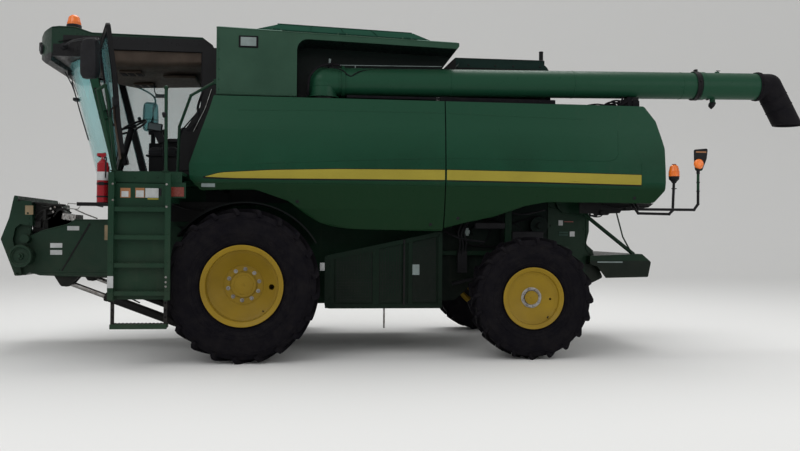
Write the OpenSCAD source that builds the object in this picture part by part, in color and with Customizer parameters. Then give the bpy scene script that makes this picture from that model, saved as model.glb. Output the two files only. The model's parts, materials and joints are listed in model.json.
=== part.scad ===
// Self-propelled combine harvester without its header, standing as it parks.
// Millimetres. The machine faces -X, its left side is -Y and the ground is Z = 0.
// All places are measured from a point on the ground below the front axle.

/* [Wheels] */
// Distance from the front axle to the rear axle
wheelbase = 3485; // [3300:5:3700]
// Radius of a front tyre over its lugs
front_tyre_r = 900; // [860:5:910]
// Width of a front tyre
front_tyre_w = 760; // [650:5:770]
// Height of the lugs on the front tyres
front_lug_h = 46; // [20:1:60]
// Lugs on each half of a front tyre
front_lugs = 21; // [15:1:24]
// From the middle of the machine to the middle of a front tyre
front_track = 1480; // [1470:5:1520]
// Radius over the flanges of a front rim
front_rim_r = 475; // [460:5:480]
// Radius of a rear tyre over its lugs
rear_tyre_r = 745; // [700:5:760]
// Width of a rear tyre
rear_tyre_w = 430; // [380:5:450]
// Height of the lugs on the rear tyres
rear_lug_h = 36; // [20:1:45]
// Lugs on each half of a rear tyre
rear_lugs = 20; // [15:1:24]
// From the middle of the machine to the middle of a rear tyre
rear_track = 1523; // [1500:5:1560]
// Radius over the flanges of a rear rim
rear_rim_r = 375; // [365:1:380]
// Radius of the spindle that a front wheel turns on
front_spindle_r = 70; // [50:1:80]
// Radius of the spindle that a rear wheel turns on
rear_spindle_r = 45; // [35:1:50]
// Radial clearance of a shaft in its bore
bore_gap = 0.09; // [0.02:0.01:0.1]
// Gap between round parts that lie together
seat_gap = 0.3; // [0.2:0.05:0.6]

/* [Separator frame] */
// Half the width of the separator frame
frame_half_w = 700; // [650:5:720]
// Top of the separator frame
frame_top_z = 2090; // [2060:5:2100]
// Rear end of the separator frame
frame_rear_x = 3960; // [3900:10:4050]
// Distance from the middle out to the upper side rails
rail_y = 1340; // [1330:5:1345]
// Top of the upper side rails
rail_top_z = 3125; // [3115:1:3128]
// Height of the upper side rails
rail_h = 38; // [30:1:44]

/* [Side panels] */
// Thickness of the side panels
panel_t = 30; // [20:1:32]
// Top edge of the side panels
panel_top_z = 3163; // [3158:1:3166]
// Seam between the front and the rear panel
panel_seam_x = 2425; // [2350:5:2500]
// Gap at the seam
panel_seam_gap = 14; // [10:1:30]
// Height of the middle of the side stripe
stripe_z = 2246; // [2200:2:2300]

/* [Cab] */
// Half the width of the cab
cab_half_w = 870; // [860:1:880]
// Top of the cab floor
cab_floor_z = 2200; // [2180:5:2220]
// Thickness of the cab floor
cab_floor_t = 100; // [70:5:105]
// Top of the cab posts
cab_top_z = 3860; // [3840:5:3880]
// Foot of the front cab posts
cab_post_x = -1600; // [-1620:5:-1580]
// Back of the cab
cab_rear_x = -400; // [-405:1:-395]
// Lean of the windshield from upright
windshield_lean = 14; // [12:0.5:15]
// Thickness of the cab glass
glass_t = 8; // [6:1:10]
// Radius of the windshield in plan
windshield_r = 1070; // [1050:5:1090]
// Top of the cab roof
roof_top_z = 3985; // [3970:5:4000]
// Foremost point of the cab roof
roof_front_x = -2765; // [-2790:5:-2740]

/* [Cab door] */
// Angle by which the door stands open at rest
door_open = 72; // [60:1:75]
// Lean of the door hinge from upright
door_lean = 8; // [6:0.5:9]
// Thickness of the door
door_t = 40; // [35:1:45]
// Width of the door frame members
door_bar = 62; // [50:1:70]

/* [Ladder and platform] */
// Outer edge of the platform
platform_y = 1850; // [1840:1:1860]
// Top of the platform
platform_z = 2205; // [2195:1:2210]
// Line of the ladder hinge
ladder_x = -1429; // [-1435:1:-1420]
// Width of the ladder between its stiles
ladder_w = 617; // [580:1:630]
// Distance of the ladder from the middle of the machine
ladder_y = 1925; // [1922:1:1940]
// Height of the lowest rigid step
ladder_step_z = 803; // [780:1:820]
// Distance between the steps
ladder_pitch = 314; // [300:1:320]
// Height of the hanging step
hanging_step_z = 463; // [430:1:500]

/* [Feeder house] */
// Half the width of the feeder house
feeder_half_w = 720; // [700:5:730]
// Pivot of the feeder house behind the front axle line
feeder_pivot_x = -950; // [-960:1:-940]
// Height of the feeder house pivot
feeder_pivot_z = 1480; // [1470:1:1490]
// Radius of the rear end of the feeder house
feeder_end_r = 330; // [300:1:335]
// Thickness of the feeder house walls
feeder_wall = 20; // [12:1:24]
// Foremost point of the feeder house
feeder_front_x = -3040; // [-3060:5:-3000]

/* [Lift cylinders] */
// Distance of the lift cylinders from the middle of the machine
lift_y = 600; // [580:5:620]
// Radius of the lift cylinder barrels
lift_barrel_r = 55; // [50:1:60]
// Radius of the lift cylinder rods
lift_rod_r = 32; // [28:1:36]
// Length of the barrels from pin to mouth
lift_barrel_len = 1200; // [1150:5:1240]
// Length of the rods
lift_rod_len = 1050; // [1000:5:1100]

/* [Grain tank] */
// Front wall of the grain tank
tank_front_x = -360; // [-365:1:-355]
// Rear edge of the grain tank
tank_rear_x = 2600; // [2580:5:2620]
// Half the width of the grain tank
tank_half_w = 1420; // [1410:1:1425]
// Front end of the rim of the grain tank
tank_top_z = 3990; // [3980:5:4000]
// Fall of the tank rim towards the rear in degrees
tank_slope = 1.9; // [1.5:0.1:2.1]
// Thickness of the tank walls
tank_wall = 24; // [15:1:30]
// Rear end of the square front part of the tank
tank_box_x = 600; // [580:5:620]
// Front edge of the tank covers
cover_front_x = 90; // [80:5:100]
// Rear edge of the tank covers
cover_rear_x = 2260; // [2240:5:2280]
// Height of the ridge of the covers over the rim
cover_rise = 450; // [400:5:460]

/* [Unloading auger] */
// Place of the auger swing axis along the machine
auger_x = 920; // [910:5:930]
// Distance of the auger from the middle of the machine
auger_y = 1180; // [1175:1:1185]
// Radius of the auger tube
auger_r = 175; // [165:1:180]
// Height of the auger tube at the swing axis
auger_z = 3408; // [3400:1:3415]
// Length of the auger tube behind the swing axis
auger_len = 5730; // [5600:10:5760]
// Rise of the auger tube in degrees
auger_rise = 1.0; // [0.9:0.1:1.3]
// Reach of the spout tip behind the front axle
spout_reach = 7250; // [7200:5:7300]

/* [Engine deck] */
// Top of the engine deck
deck_z = 3145; // [3130:5:3150]
// Front of the engine hood
hood_front_x = 2680; // [2670:5:2700]
// Rear of the engine hood
hood_rear_x = 3900; // [3850:5:3920]
// Radius of the cooling screen
screen_r = 470; // [440:5:480]

/* [Rear] */
// Rear end of the hood at the back
rear_hood_x = 5120; // [5080:5:5160]
// Half the width of the rear hood
rear_hood_half_w = 1300; // [1250:5:1330]
// Half the width of the residue chopper
chopper_half_w = 715; // [690:5:725]
// Distance of the rear marker lamps from the middle
marker_y = 1700; // [1650:5:1720]

/* [Hidden] */
$fn = 48;

green = "#1f4a30";
yellow = "#d8b52a";
black = "#1c1c1c";
steel = "#9a9c9c";

front_reach = feeder_front_x - 20;
front_axle_x = -(spout_reach + front_reach) / 2;
hinge_r = 13;
pin_r = 7;

// Outlines with rounded corners: each row is [x, y, corner radius]
function unit(v) = v / norm(v);
function half_turn(a) = a > 180 ? a - 360 : (a <= -180 ? a + 360 : a);
function corner(a, b, c, r, steps) =
    r <= 0 ? [b] :
    let (u = unit(a - b), v = unit(c - b), half = acos(u * v) / 2,
         mid = b + unit(u + v) * r / sin(half),
         p = b + u * r / tan(half) - mid, q = b + v * r / tan(half) - mid,
         start = atan2(p[1], p[0]), sweep = half_turn(atan2(q[1], q[0]) - start))
    [for (i = [0 : steps])
        mid + r * [cos(start + sweep * i / steps), sin(start + sweep * i / steps)]];
function rounded(rows, steps = 5) =
    let (n = len(rows), at = [for (row = rows) [row[0], row[1]]])
    [for (i = [0 : n - 1])
        each corner(at[(i + n - 1) % n], at[i], at[(i + 1) % n], rows[i][2], steps)];

// An XZ outline extruded from y0 to y1
module along_y(y0, y1) translate([0, y1, 0]) rotate([90, 0, 0]) linear_extrude(y1 - y0) children();

// A YZ outline extruded from x0 to x1
module along_x(x0, x1) translate([x0, 0, 0]) rotate([90, 0, 90]) linear_extrude(x1 - x0) children();

module box(from, to) translate(from) cube(to - from);

// A round bar between two points
module bar(from, to, r) {
    along = to - from;
    translate(from)
        rotate([0, acos(along[2] / norm(along)), atan2(along[1], along[0])])
            cylinder(h = norm(along), r = r);
}

// A bent tube through a few points, with rounded joints
module bent_tube(points, r) {
    for (i = [0 : len(points) - 2])
        bar(points[i], points[i + 1], r);
    for (i = [1 : 1 : len(points) - 2])
        translate(points[i]) sphere(r = r * 1.12);
}

module both_sides() {
    children();
    mirror([0, 1, 0]) children();
}

module right_side() mirror([0, 1, 0]) children();

// Moves the machine so that the origin is below its middle
module in_place() translate([front_axle_x, 0, 0]) children();

// Wheels, built round the origin with the outer face towards +Y
module around_y() rotate([-90, 0, 0]) children();

function tyre_rows(r_out, r_bead, w, half_bead, flange_r) =
    let (h = r_out - r_bead, side = [
        [r_bead, half_bead, 0],
        [flange_r + 4, half_bead, 0],
        [r_bead + h * 0.42, w / 2, h * 0.2],
        [r_bead + h * 0.86, w / 2, h * 0.12],
        [r_out, w / 2 * 0.93, h * 0.05]])
    concat(side, [for (i = [len(side) - 1 : -1 : 0]) [side[i][0], -side[i][1], side[i][2]]]);

module tyre(r, w, lug_h, lugs, r_bead, half_bead, flange_r) {
    carcass_r = r - lug_h;
    lug_base = carcass_r - lug_h * 1.6;
    lug_t = r * 0.052;
    lug_sweep = w * 0.33;
    around_y() {
        rotate_extrude() polygon(rounded(tyre_rows(carcass_r, r_bead, w - 2 * lug_h / 3, half_bead,
            flange_r), 3));
        intersection() {
            rotate_extrude() polygon([[lug_base, -w / 2], [r - lug_h * 0.8, -w / 2],
                [r, -w * 0.47], [r, w * 0.47], [r - lug_h * 0.8, w / 2], [lug_base, w / 2]]);
            for (side = [-1, 1], i = [0 : lugs - 1])
                rotate([0, 0, 360 / lugs * (i + (side > 0 ? 0.5 : 0))])
                    translate([lug_base - 1, 0, 0])
                        rotate([90, 0, 90])
                            linear_extrude(r - lug_base + lug_h)
                                polygon([[0, side * 12], [lug_t, side * 12],
                                    [lug_sweep + lug_t * 0.9, side * w * 0.52],
                                    [lug_sweep, side * w * 0.52]]);
        }
    }
}

// A dished disc wheel. hub rows are distances outward from the middle of the tyre.
module rim(flange_r, barrel_r, half_w, hub_r, ring_r, disc_y, hub_in, hub_out, spindle_r, hole_r) {
    t = 15;
    cap = hub_out - 24;
    bore = spindle_r + bore_gap;
    around_y() difference() {
        rotate_extrude() polygon([
            [bore, hub_in], [hub_r * 0.82, hub_in], [hub_r * 0.82, disc_y[1] - t],
            [ring_r, disc_y[1] - t], [barrel_r - t, disc_y[0] - t * 1.5],
            [barrel_r - t, -half_w + 26], [flange_r - 10, -half_w], [flange_r, -half_w],
            [flange_r, -half_w + 14], [barrel_r, -half_w + 30], [barrel_r, half_w - 30],
            [flange_r, half_w - 14], [flange_r, half_w], [flange_r - 10, half_w],
            [barrel_r - t * 0.5, half_w - 22], [barrel_r - t, half_w - 50],
            [barrel_r - t, disc_y[0] + t], [barrel_r - 3 * t, disc_y[0]], [ring_r, disc_y[1]],
            [hub_r, disc_y[1]], [hub_r, hub_out], [0, hub_out], [0, cap], [bore, cap]]);
        rotate([0, 0, 4])
            translate([(ring_r + barrel_r) / 2, 0, -half_w])
                cylinder(h = 2 * half_w, r = hole_r);
    }
}

front_barrel_r = front_rim_r - 47;
front_rim_half = front_tyre_w * 0.452;
front_hub_in = -110;
front_hub_out = 92;
rear_barrel_r = rear_rim_r - 40;
rear_rim_half = rear_tyre_w * 0.44;
rear_hub_in = -90;
rear_hub_out = 92;

module front_rim() rim(front_rim_r, front_barrel_r, front_rim_half, 146, 235, [185, 74],
    front_hub_in, front_hub_out, front_spindle_r, 33);
module rear_rim() rim(rear_rim_r, rear_barrel_r, rear_rim_half, 84, 128, [118, 72],
    rear_hub_in, rear_hub_out, rear_spindle_r, 14);
module front_tyre() tyre(front_tyre_r, front_tyre_w, front_lug_h, front_lugs,
    front_barrel_r + seat_gap, front_rim_half - 31, front_rim_r);
module rear_tyre() tyre(rear_tyre_r, rear_tyre_w, rear_lug_h, rear_lugs,
    rear_barrel_r + seat_gap, rear_rim_half - 31, rear_rim_r);

module at_front_right() translate([0, front_track, front_tyre_r]) children();
module at_rear_right() translate([wheelbase, rear_track, rear_tyre_r]) children();

module front_rim_right() color(yellow) at_front_right() front_rim();
module front_rim_left() color(yellow) right_side() at_front_right() front_rim();
module front_tyre_right() color(black) at_front_right() front_tyre();
module front_tyre_left() color(black) right_side() at_front_right() front_tyre();
module rear_rim_right() color(yellow) at_rear_right() rear_rim();
module rear_rim_left() color(yellow) right_side() at_rear_right() rear_rim();
module rear_tyre_right() color(black) at_rear_right() rear_tyre();
module rear_tyre_left() color(black) right_side() at_rear_right() rear_tyre();

// Front axle: beam, final drives and spindles
axle_half = 130;
module front_axle() color(green) {
    z = front_tyre_r;
    hub = front_track + front_hub_in;
    box([-axle_half, -frame_half_w - 20, z - axle_half], [axle_half, frame_half_w + 20, z + axle_half]);
    both_sides() translate([0, 0, z]) around_y() {
        translate([0, 0, frame_half_w]) cylinder(h = 330, r = 215);
        translate([0, 0, frame_half_w + 330]) cylinder(h = hub - 6 - frame_half_w - 330, r = 165);
        translate([0, 0, hub - 40]) cylinder(h = front_hub_out - front_hub_in + 40 - 30, r = front_spindle_r);
    }
    both_sides() for (y = [lift_y - lift_barrel_r - 25, lift_y + lift_barrel_r + 3])
        difference() {
            along_y(y, y + 22)
                polygon(rounded([[-axle_half + 20, z - 40, 0], [-axle_half + 20, z - axle_half - 60, 60],
                    [lift_base_x + 60, lift_base_z - 60, 55], [lift_base_x - 60, lift_base_z - 60, 55],
                    [lift_base_x - 60, lift_base_z + 60, 55], [-axle_half - 80, z + 60, 0],
                    [-axle_half + 20, z + 60, 0]]));
            translate([lift_base_x, y - 1, lift_base_z]) around_y() cylinder(h = 24, r = lift_pin_r + bore_gap);
        }
}

// Rear axle: beam with forks that hold the king pins
king_y = rear_track - 370;
king_pin_r = 32;
knuckle_half = 105;
knuckle_r = 62;
module rear_axle() color(green) {
    z = rear_tyre_r;
    along_x(wheelbase - 85, wheelbase + 85)
        polygon([[-king_y + 108, z - 80], [-260, z - 130], [260, z - 130], [king_y - 108, z - 80],
            [king_y - 108, z + 80], [260, z + 120], [-260, z + 120], [-king_y + 108, z + 80]]);
    box([wheelbase - 70, -190, z + 100], [wheelbase + 70, 190, rear_saddle_z]);
    both_sides() {
        for (s = [-1, 1]) {
            translate([wheelbase, king_y, z + s * (knuckle_half + 20.3)])
                cylinder(h = 40, r = 78, center = true);
            box([wheelbase - 70, king_y - 150, z + s * (knuckle_half + 20.3) - 20],
                [wheelbase + 70, king_y, z + s * (knuckle_half + 20.3) + 20]);
        }
        box([wheelbase - 55, king_y - 150, z - knuckle_half - 40],
            [wheelbase + 55, king_y - 108, z + knuckle_half + 40]);
        translate([wheelbase, king_y, z - knuckle_half - 10]) cylinder(h = 2 * knuckle_half + 20, r = king_pin_r);
    }
}

// Right knuckle with its spindle and steering arm
arm_x = 230;
arm_y = 20;
module knuckle() difference() {
    union() {
        translate([wheelbase, king_y, rear_tyre_r - knuckle_half]) cylinder(h = 2 * knuckle_half, r = knuckle_r);
        translate([wheelbase, king_y, rear_tyre_r]) around_y() {
            cylinder(h = rear_track + rear_hub_in - 6 - king_y, r = rear_spindle_r + 22);
            cylinder(h = rear_track + rear_hub_out - 30 - king_y, r = rear_spindle_r);
        }
        translate([0, 0, rear_tyre_r - knuckle_half + 5]) linear_extrude(28)
            polygon(rounded([[wheelbase - 30, king_y - 50, 0], [wheelbase - 30, king_y + 50, 0],
                [wheelbase + arm_x + 35, king_y + arm_y + 40, 34], [wheelbase + arm_x + 35, king_y + arm_y - 36, 34]]));
    }
    translate([wheelbase, king_y, rear_tyre_r - knuckle_half - 1])
        cylinder(h = 2 * knuckle_half + 2, r = king_pin_r + bore_gap);
}
module knuckle_right() color(green) knuckle();
module knuckle_left() color(green) right_side() knuckle();

// Tie rod below the two steering arms
module tie_rod() color(steel) {
    z = rear_tyre_r - knuckle_half + 5 - 28;
    x = wheelbase + arm_x;
    y = king_y + arm_y;
    bar([x, -y + 20, z], [x, y - 20, z], 20);
    both_sides() translate([x, y, z - 20]) cylinder(h = 47.7, r = 27);
    both_sides() bar([x, y - 300, z], [x, y - 150, z], 28);
}

// Separator frame: the welded body that carries axles, cab, tank and engine
rear_saddle_z = 1075;
frame_front_x = -600;
trunnion_r = 70;
engine_z = 2300;
module main_frame() color(green) {
    along_y(-frame_half_w, frame_half_w) polygon(rounded([
        [frame_front_x, front_tyre_r + axle_half, 0], [frame_front_x, frame_top_z, 0],
        [frame_rear_x, frame_top_z, 0], [frame_rear_x, 1330, 60], [3800, rear_saddle_z, 60],
        [3150, rear_saddle_z, 60], [2700, 640, 120], [760, 600, 120],
        [420, front_tyre_r + axle_half, 60]]));
    // Side rails that the panels hang from
    both_sides() {
        box([tank_front_x, rail_y - 30, rail_top_z - rail_h], [5040, rail_y + 25, rail_top_z]);
        for (x = [tank_front_x + 30, 2490, 4950])
            box([x, rail_y - 30, frame_top_z - 30], [x + 60, rail_y, rail_top_z - 5]);
        for (x = [tank_front_x + 30, 2490])
            box([x, frame_half_w - 10, frame_top_z - 60], [x + 60, rail_y - 5, frame_top_z - 5]);
        for (x = [tank_front_x + 30, tank_box_x, tank_rear_x - 310])
            box([x, rail_y - 8, rail_top_z - 5], [x + 60, rail_y + 22, tank_shelf_z]);
        panel_pins();
        fender();
    }
    // Cross member in front of the body that carries the cab
    box([cab_bearer_x, -frame_half_w + 10, feeder_pivot_z + feeder_end_r + 30],
        [frame_front_x + 10, frame_half_w - 10, frame_top_z]);
    // Brackets that the feeder house trunnions turn in
    both_sides() {
        difference() {
            along_y(feeder_half_w + 8, feeder_half_w + 48) union() {
                translate([feeder_pivot_x, feeder_pivot_z]) circle(r = trunnion_r + 50);
                translate([feeder_pivot_x, feeder_pivot_z - 110]) square([frame_front_x - feeder_pivot_x + 80, 220]);
            }
            translate([feeder_pivot_x, feeder_half_w, feeder_pivot_z]) around_y()
                cylinder(h = 60, r = trunnion_r + bore_gap);
        }
        box([frame_front_x + 6, frame_half_w - 10, feeder_pivot_z - 110],
            [frame_front_x + 80, feeder_half_w + 48, feeder_pivot_z + 110]);
    }
    // Engine mounts
    for (x = [2920, 3700])
        box([x, -300, frame_top_z - 5], [x + 130, 300, engine_z]);
    // Belt sheaves on the left side
    for (row = [[2950, 1560, 190, 60], [3450, 1500, 150, 60], [3820, 1640, 120, 90], [2620, 1850, 110, 70]])
        translate([row[0], -frame_half_w + 5, row[1]]) rotate([90, 0, 0]) {
            cylinder(h = row[3], r = row[2]);
            cylinder(h = row[3] + 40, r = row[2] * 0.3);
        }
    // Clean grain elevator on the right side
    along_y(frame_half_w - 5, frame_half_w + 190)
        polygon(rounded([[1250, 620, 120], [1520, 620, 120], [900, 2050, 60], [640, 2050, 60]]));
}

// Fender over a front tyre, joined to the trunnion bracket and the frame side
cab_bearer_x = -1050;
fender_gap = 75;
fender_t = 20;
module fender() {
    low = front_tyre_r + fender_gap;
    along_y(feeder_half_w + 40, rail_y + 30) translate([0, front_tyre_r]) intersection() {
        difference() {
            circle(r = low + fender_t);
            circle(r = low);
        }
        polygon([[0, 0], [-1640, 1150], [-1640, 2000], [1640, 2000], [1640, 950]]);
    }
    for (x = [-40, 560])
        box([x, frame_half_w - 5, front_tyre_r + sqrt(pow(low, 2) - pow(x + 40, 2)) - 10],
            [x + 80, feeder_half_w + 60, front_tyre_r + sqrt(pow(low, 2) - pow(x + 40, 2)) + 15]);
}

// Hinge places of a side panel: [x] of each barrel
panel_hinges = [[-150, 1200, 2200], [2700, 3700, 4700]];
hinge_len = 90;
hinge_y = 1408;
hinge_z = panel_top_z - 30;
module panel_pins() for (set = panel_hinges, x = set) {
    bar([x - hinge_len / 2 - 26, hinge_y, hinge_z], [x + hinge_len / 2 + 26, hinge_y, hinge_z], pin_r);
    for (s = [-1, 1])
        box([x + s * (hinge_len / 2 + 18) - 8, rail_y - 5, hinge_z - 9],
            [x + s * (hinge_len / 2 + 18) + 8, hinge_y + 9, hinge_z + 9]);
}

// Section of a side panel: [distance from the middle, height]
panel_section = [[1430, 3148], [1492, 2740], [1518, 2400], [1524, 2320], [1524, 2172], [1512, 2120],
    [1440, 1800], [1350, 1560]];
module panel_skin(x0, x1) along_x(x0, x1) polygon(concat(
    [for (p = panel_section) [p[0], p[1] - 3148 + panel_top_z]],
    [for (i = [len(panel_section) - 1 : -1 : 0])
        [panel_section[i][0] - panel_t, panel_section[i][1] - 3148 + panel_top_z]]));

module panel(rows, hinges) {
    difference() {
        union() {
            intersection() {
                panel_skin(rows[0][0] - 400, rows[0][0] + 3400);
                along_y(1200, 1700) polygon(rounded(rows));
            }
            for (x = hinges)
                bar([x - hinge_len / 2, hinge_y, hinge_z], [x + hinge_len / 2, hinge_y, hinge_z], hinge_r);
        }
        for (x = hinges) {
            bar([x - hinge_len, hinge_y, hinge_z], [x + hinge_len, hinge_y, hinge_z], pin_r + bore_gap);
            for (s = [-1, 1])
                box([x + s * (hinge_len / 2 + 20) - 20, rail_y, hinge_z - 15],
                    [x + s * (hinge_len / 2 + 20) + 20, hinge_y + 15, panel_top_z + 1]);
        }
    }
}
front_panel_rows = [[-385, panel_top_z, 20], [panel_seam_x - panel_seam_gap / 2, panel_top_z, 0],
    [panel_seam_x - panel_seam_gap / 2, 1565, 0], [1300, 1575, 150], [900, 1650, 100],
    [520, 1900, 200], [80, 2050, 200], [-520, 2020, 50], [-645, 2150, 50], [-655, 2316, 150],
    [-557, 2620, 400], [-430, 3000, 400]];
rear_panel_rows = [[panel_seam_x + panel_seam_gap / 2, panel_top_z, 0], [4990, panel_top_z, 40],
    [5135, 2970, 80], [5238, 2620, 200], [5246, 2090, 70], [5110, 1932, 60], [3780, 1940, 300],
    [3420, 1875, 200], [3064, 1750, 200], [2712, 1672, 100], [panel_seam_x + panel_seam_gap / 2, 1600, 0]];
module panel_right_front() color(green) panel(front_panel_rows, panel_hinges[0]);
module panel_left_front() color(green) right_side() panel(front_panel_rows, panel_hinges[0]);
module panel_left_rear() color(green) right_side() panel(rear_panel_rows, panel_hinges[1]);
screen_x = 3350;
screen_z = 2600;
module panel_right_rear() color(green) difference() {
    panel(rear_panel_rows, panel_hinges[1]);
    translate([screen_x, 1200, screen_z]) around_y() cylinder(h = 500, r = screen_r + 40);
}

// Cooling screen behind the round opening of the right rear panel
screen_y = 1380;
module cooling_screen() color(black) translate([screen_x, 0, screen_z]) around_y() {
    translate([0, 0, screen_y - 50]) difference() {
        cylinder(h = 50, r = screen_r);
        translate([0, 0, 12]) cylinder(h = 60, r = screen_r - 22);
    }
    for (i = [-8 : 8])
        translate([-12, 0, screen_y - 45])
            translate([i * screen_r / 9, -sqrt(1 - pow(i / 9, 2)) * (screen_r - 8), 0])
                cube([10, 2 * sqrt(1 - pow(i / 9, 2)) * (screen_r - 8), 34]);
    translate([0, 0, screen_y - 50]) cylinder(h = 62, r = 90);
}

// Cab posts, floor and rear wall; the windshield arc sets the floor's front edge
glass_axis_x = cab_post_x + sqrt(pow(windshield_r, 2) - pow(cab_half_w - 20, 2));
module cab_plan() intersection() {
    translate([glass_axis_x, 0]) circle(r = windshield_r + 10);
    translate([cab_rear_x - 2200, -cab_half_w]) square([2200, 2 * cab_half_w]);
}
post_run = tan(windshield_lean);
post_front = 62;
post_back = 36;
module cab_shell() color(green) {
    translate([0, 0, cab_floor_z - cab_floor_t]) linear_extrude(cab_floor_t) cab_plan();
    both_sides() along_y(cab_half_w - 55, cab_half_w) {
        polygon([[cab_post_x - post_front, cab_floor_z - 5], [cab_post_x + post_back, cab_floor_z - 5],
            [cab_post_x + post_back - (cab_top_z - cab_floor_z) * post_run, cab_top_z],
            [cab_post_x - post_front - (cab_top_z - cab_floor_z) * post_run, cab_top_z]]);
        polygon(rounded([[-930, cab_floor_z - 5, 0], [cab_rear_x, cab_floor_z - 5, 0], [cab_rear_x, cab_top_z, 0],
            [-600, cab_top_z, 0], [-600, 3120, 300], [-870, 2720, 100]]));
        polygon([[cab_post_x - 20 - (cab_top_z - 60 - cab_floor_z) * post_run, cab_top_z - 60],
            [cab_rear_x, cab_top_z - 60], [cab_rear_x, cab_top_z],
            [cab_post_x - 20 - (cab_top_z - cab_floor_z) * post_run, cab_top_z]]);
    }
    difference() {
        box([cab_rear_x - 40, -cab_half_w + 50, cab_floor_z - 5], [cab_rear_x, cab_half_w - 50, cab_top_z]);
        box([cab_rear_x - 60, -560, 2950], [cab_rear_x + 20, 560, 3650]);
    }
    // Seat pedestal and console
    box([seat_x - 180, -200, cab_floor_z - 5], [seat_x + 190, 200, cab_floor_z + 330]);
    box([seat_x - 300, 300, cab_floor_z - 5], [seat_x + 250, 500, cab_floor_z + 560]);
    // Cab supports that rest on the separator frame
    both_sides() box([-760, 480, frame_top_z], [-480, 640, cab_floor_z - cab_floor_t + 5]);
    // Slanted hinge post of the door
    mirror([0, 1, 0]) door_pins();
    // Service arm in front of the floor
    box([-2100, -cab_half_w - 40, 1835], [-1560, -cab_half_w + 20, 1880]);
    box([-1640, -cab_half_w - 40, 1835], [-1560, -cab_half_w + 20, cab_floor_z - cab_floor_t + 5]);
}

seat_x = -1180;

// Door hinge line, leaning forward; the frame of reference of the door
door_axis_y = cab_half_w + 32;
door_axis_x = cab_post_x - 10;
module on_door_axis() translate([door_axis_x, door_axis_y, cab_floor_z])
    rotate([0, -door_lean, 0]) children();
door_hinges = [260, 800];
module door_pins() on_door_axis() for (h = door_hinges) {
    translate([0, 0, h - 60]) cylinder(h = 120, r = pin_r);
    for (s = [-1, 1])
        box([-h * (post_run - tan(door_lean)) - 40, -60, h + s * 50 - 7], [16, 16, h + s * 50 + 7]);
}

// Windshield and fixed side and rear windows
module cab_glass() color("#5f8f8a", 0.5) {
    intersection() {
        translate([glass_axis_x, 0, cab_floor_z]) rotate([0, -windshield_lean, 0])
            difference() {
                translate([0, 0, -300]) cylinder(h = 2100, r = windshield_r);
                translate([0, 0, -400]) cylinder(h = 2300, r = windshield_r - glass_t);
            }
        box([-3000, -cab_half_w + 55.3, cab_floor_z + seat_gap], [cab_post_x - 60, cab_half_w - 55.3, glass_top_z]);
    }
    along_y(cab_half_w - 34, cab_half_w - 34 + glass_t) polygon(rounded([
        [cab_post_x + post_back + 0.4, cab_floor_z, 0], [-930.4, cab_floor_z, 0], [-870.6, 2720, 100.6], [-600.4, 3120, 299.4],
        [-600.4, cab_top_z - 60, 0],
        [cab_post_x + post_back + 0.4 - (cab_top_z - 60 - cab_floor_z) * post_run, cab_top_z - 60, 0]]));
    box([cab_rear_x - 26, -560, 2950], [cab_rear_x - 26 + glass_t, 560, 3650]);
}
glass_top_z = 3690;

// Roof with the lamp pod over the windshield
module cab_roof() color(green) {
    roof_body();
    both_sides() translate([-2245, 600, beacon_seat_z - 5]) cylinder(h = 45, r = 76);
}
module roof_body() intersection() {
    along_y(-cab_half_w + 5, cab_half_w - 5) polygon(rounded([
        [-480, cab_top_z, 0], [-2086, cab_top_z, 0], [-2046, glass_top_z + 8, 0], [-2430, glass_top_z + 8, 0],
        [-2450, 3645, 10], [-2530, 3615, 40], [roof_front_x + 40, 3760, 60], [roof_front_x, 3975, 30],
        [-2590, 4040, 60], [-2330, beacon_seat_z, 0], [-2160, beacon_seat_z, 40], [-1950, roof_top_z + 12, 150],
        [-600, roof_top_z, 60],
        [-470, 3895, 15]]));
    translate([roof_front_x + 1300, 0, 3000]) {
        cylinder(h = 2000, r = 1300);
        translate([0, -1000, 0]) cube([2000, 2000, 2000]);
    }
}

// Door in its closed place, right-hand frame of reference, Y outward
module door_outline(inset) offset_rows([[0, 30], [0, 1660], [1180, 1605], [1165, 1000], [905, 560], [870, 165]], inset);
module offset_rows(rows, inset) {
    centre = [for (k = [0, 1]) sum_of([for (row = rows) row[k]]) / len(rows)];
    polygon(rounded([for (row = rows)
        let (d = centre - row) [row[0] + d[0] / norm(d) * inset, row[1] + d[1] / norm(d) * inset, 60]], 3));
}
function sum_of(list) = [for (v = list) 1] * list;
module door_leaf(y0, y1) translate([0, y1, 0]) rotate([90, 0, 0]) linear_extrude(y1 - y0) children();
module door_place() mirror([0, 1, 0]) on_door_axis() rotate([0, 0, door_open]) children();
module cab_door() color(black) door_place() {
    difference() {
        union() {
            translate([28, 0, 0]) door_leaf(-door_t / 2, door_t / 2) difference() {
                door_outline(0);
                door_outline(door_bar * 1.5);
            }
            for (h = door_hinges) {
                translate([0, 0, h - 42]) cylinder(h = 84, r = hinge_r);
                translate([0, -8, h - 42]) cube([60, 16, 84]);
            }
        }
        for (h = door_hinges)
            translate([0, 0, h - 80]) cylinder(h = 160, r = pin_r + bore_gap);
    }
}
module door_glass() color("#5f8f8a", 0.5) door_place()
    translate([28, 0, 0]) door_leaf(-glass_t / 2, glass_t / 2) door_outline(door_bar * 1.5 + 0.5);

// Operator seat cushions
module seat() color("#2c2c2c") {
    translate([seat_x, 0, cab_floor_z]) along_y(-240, 240) polygon(rounded([[-250, 330, 0], [210, 330, 0],
        [310, 1010, 25], [230, 1030, 20], [120, 470, 60], [-250, 460, 50]]));
}

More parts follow.
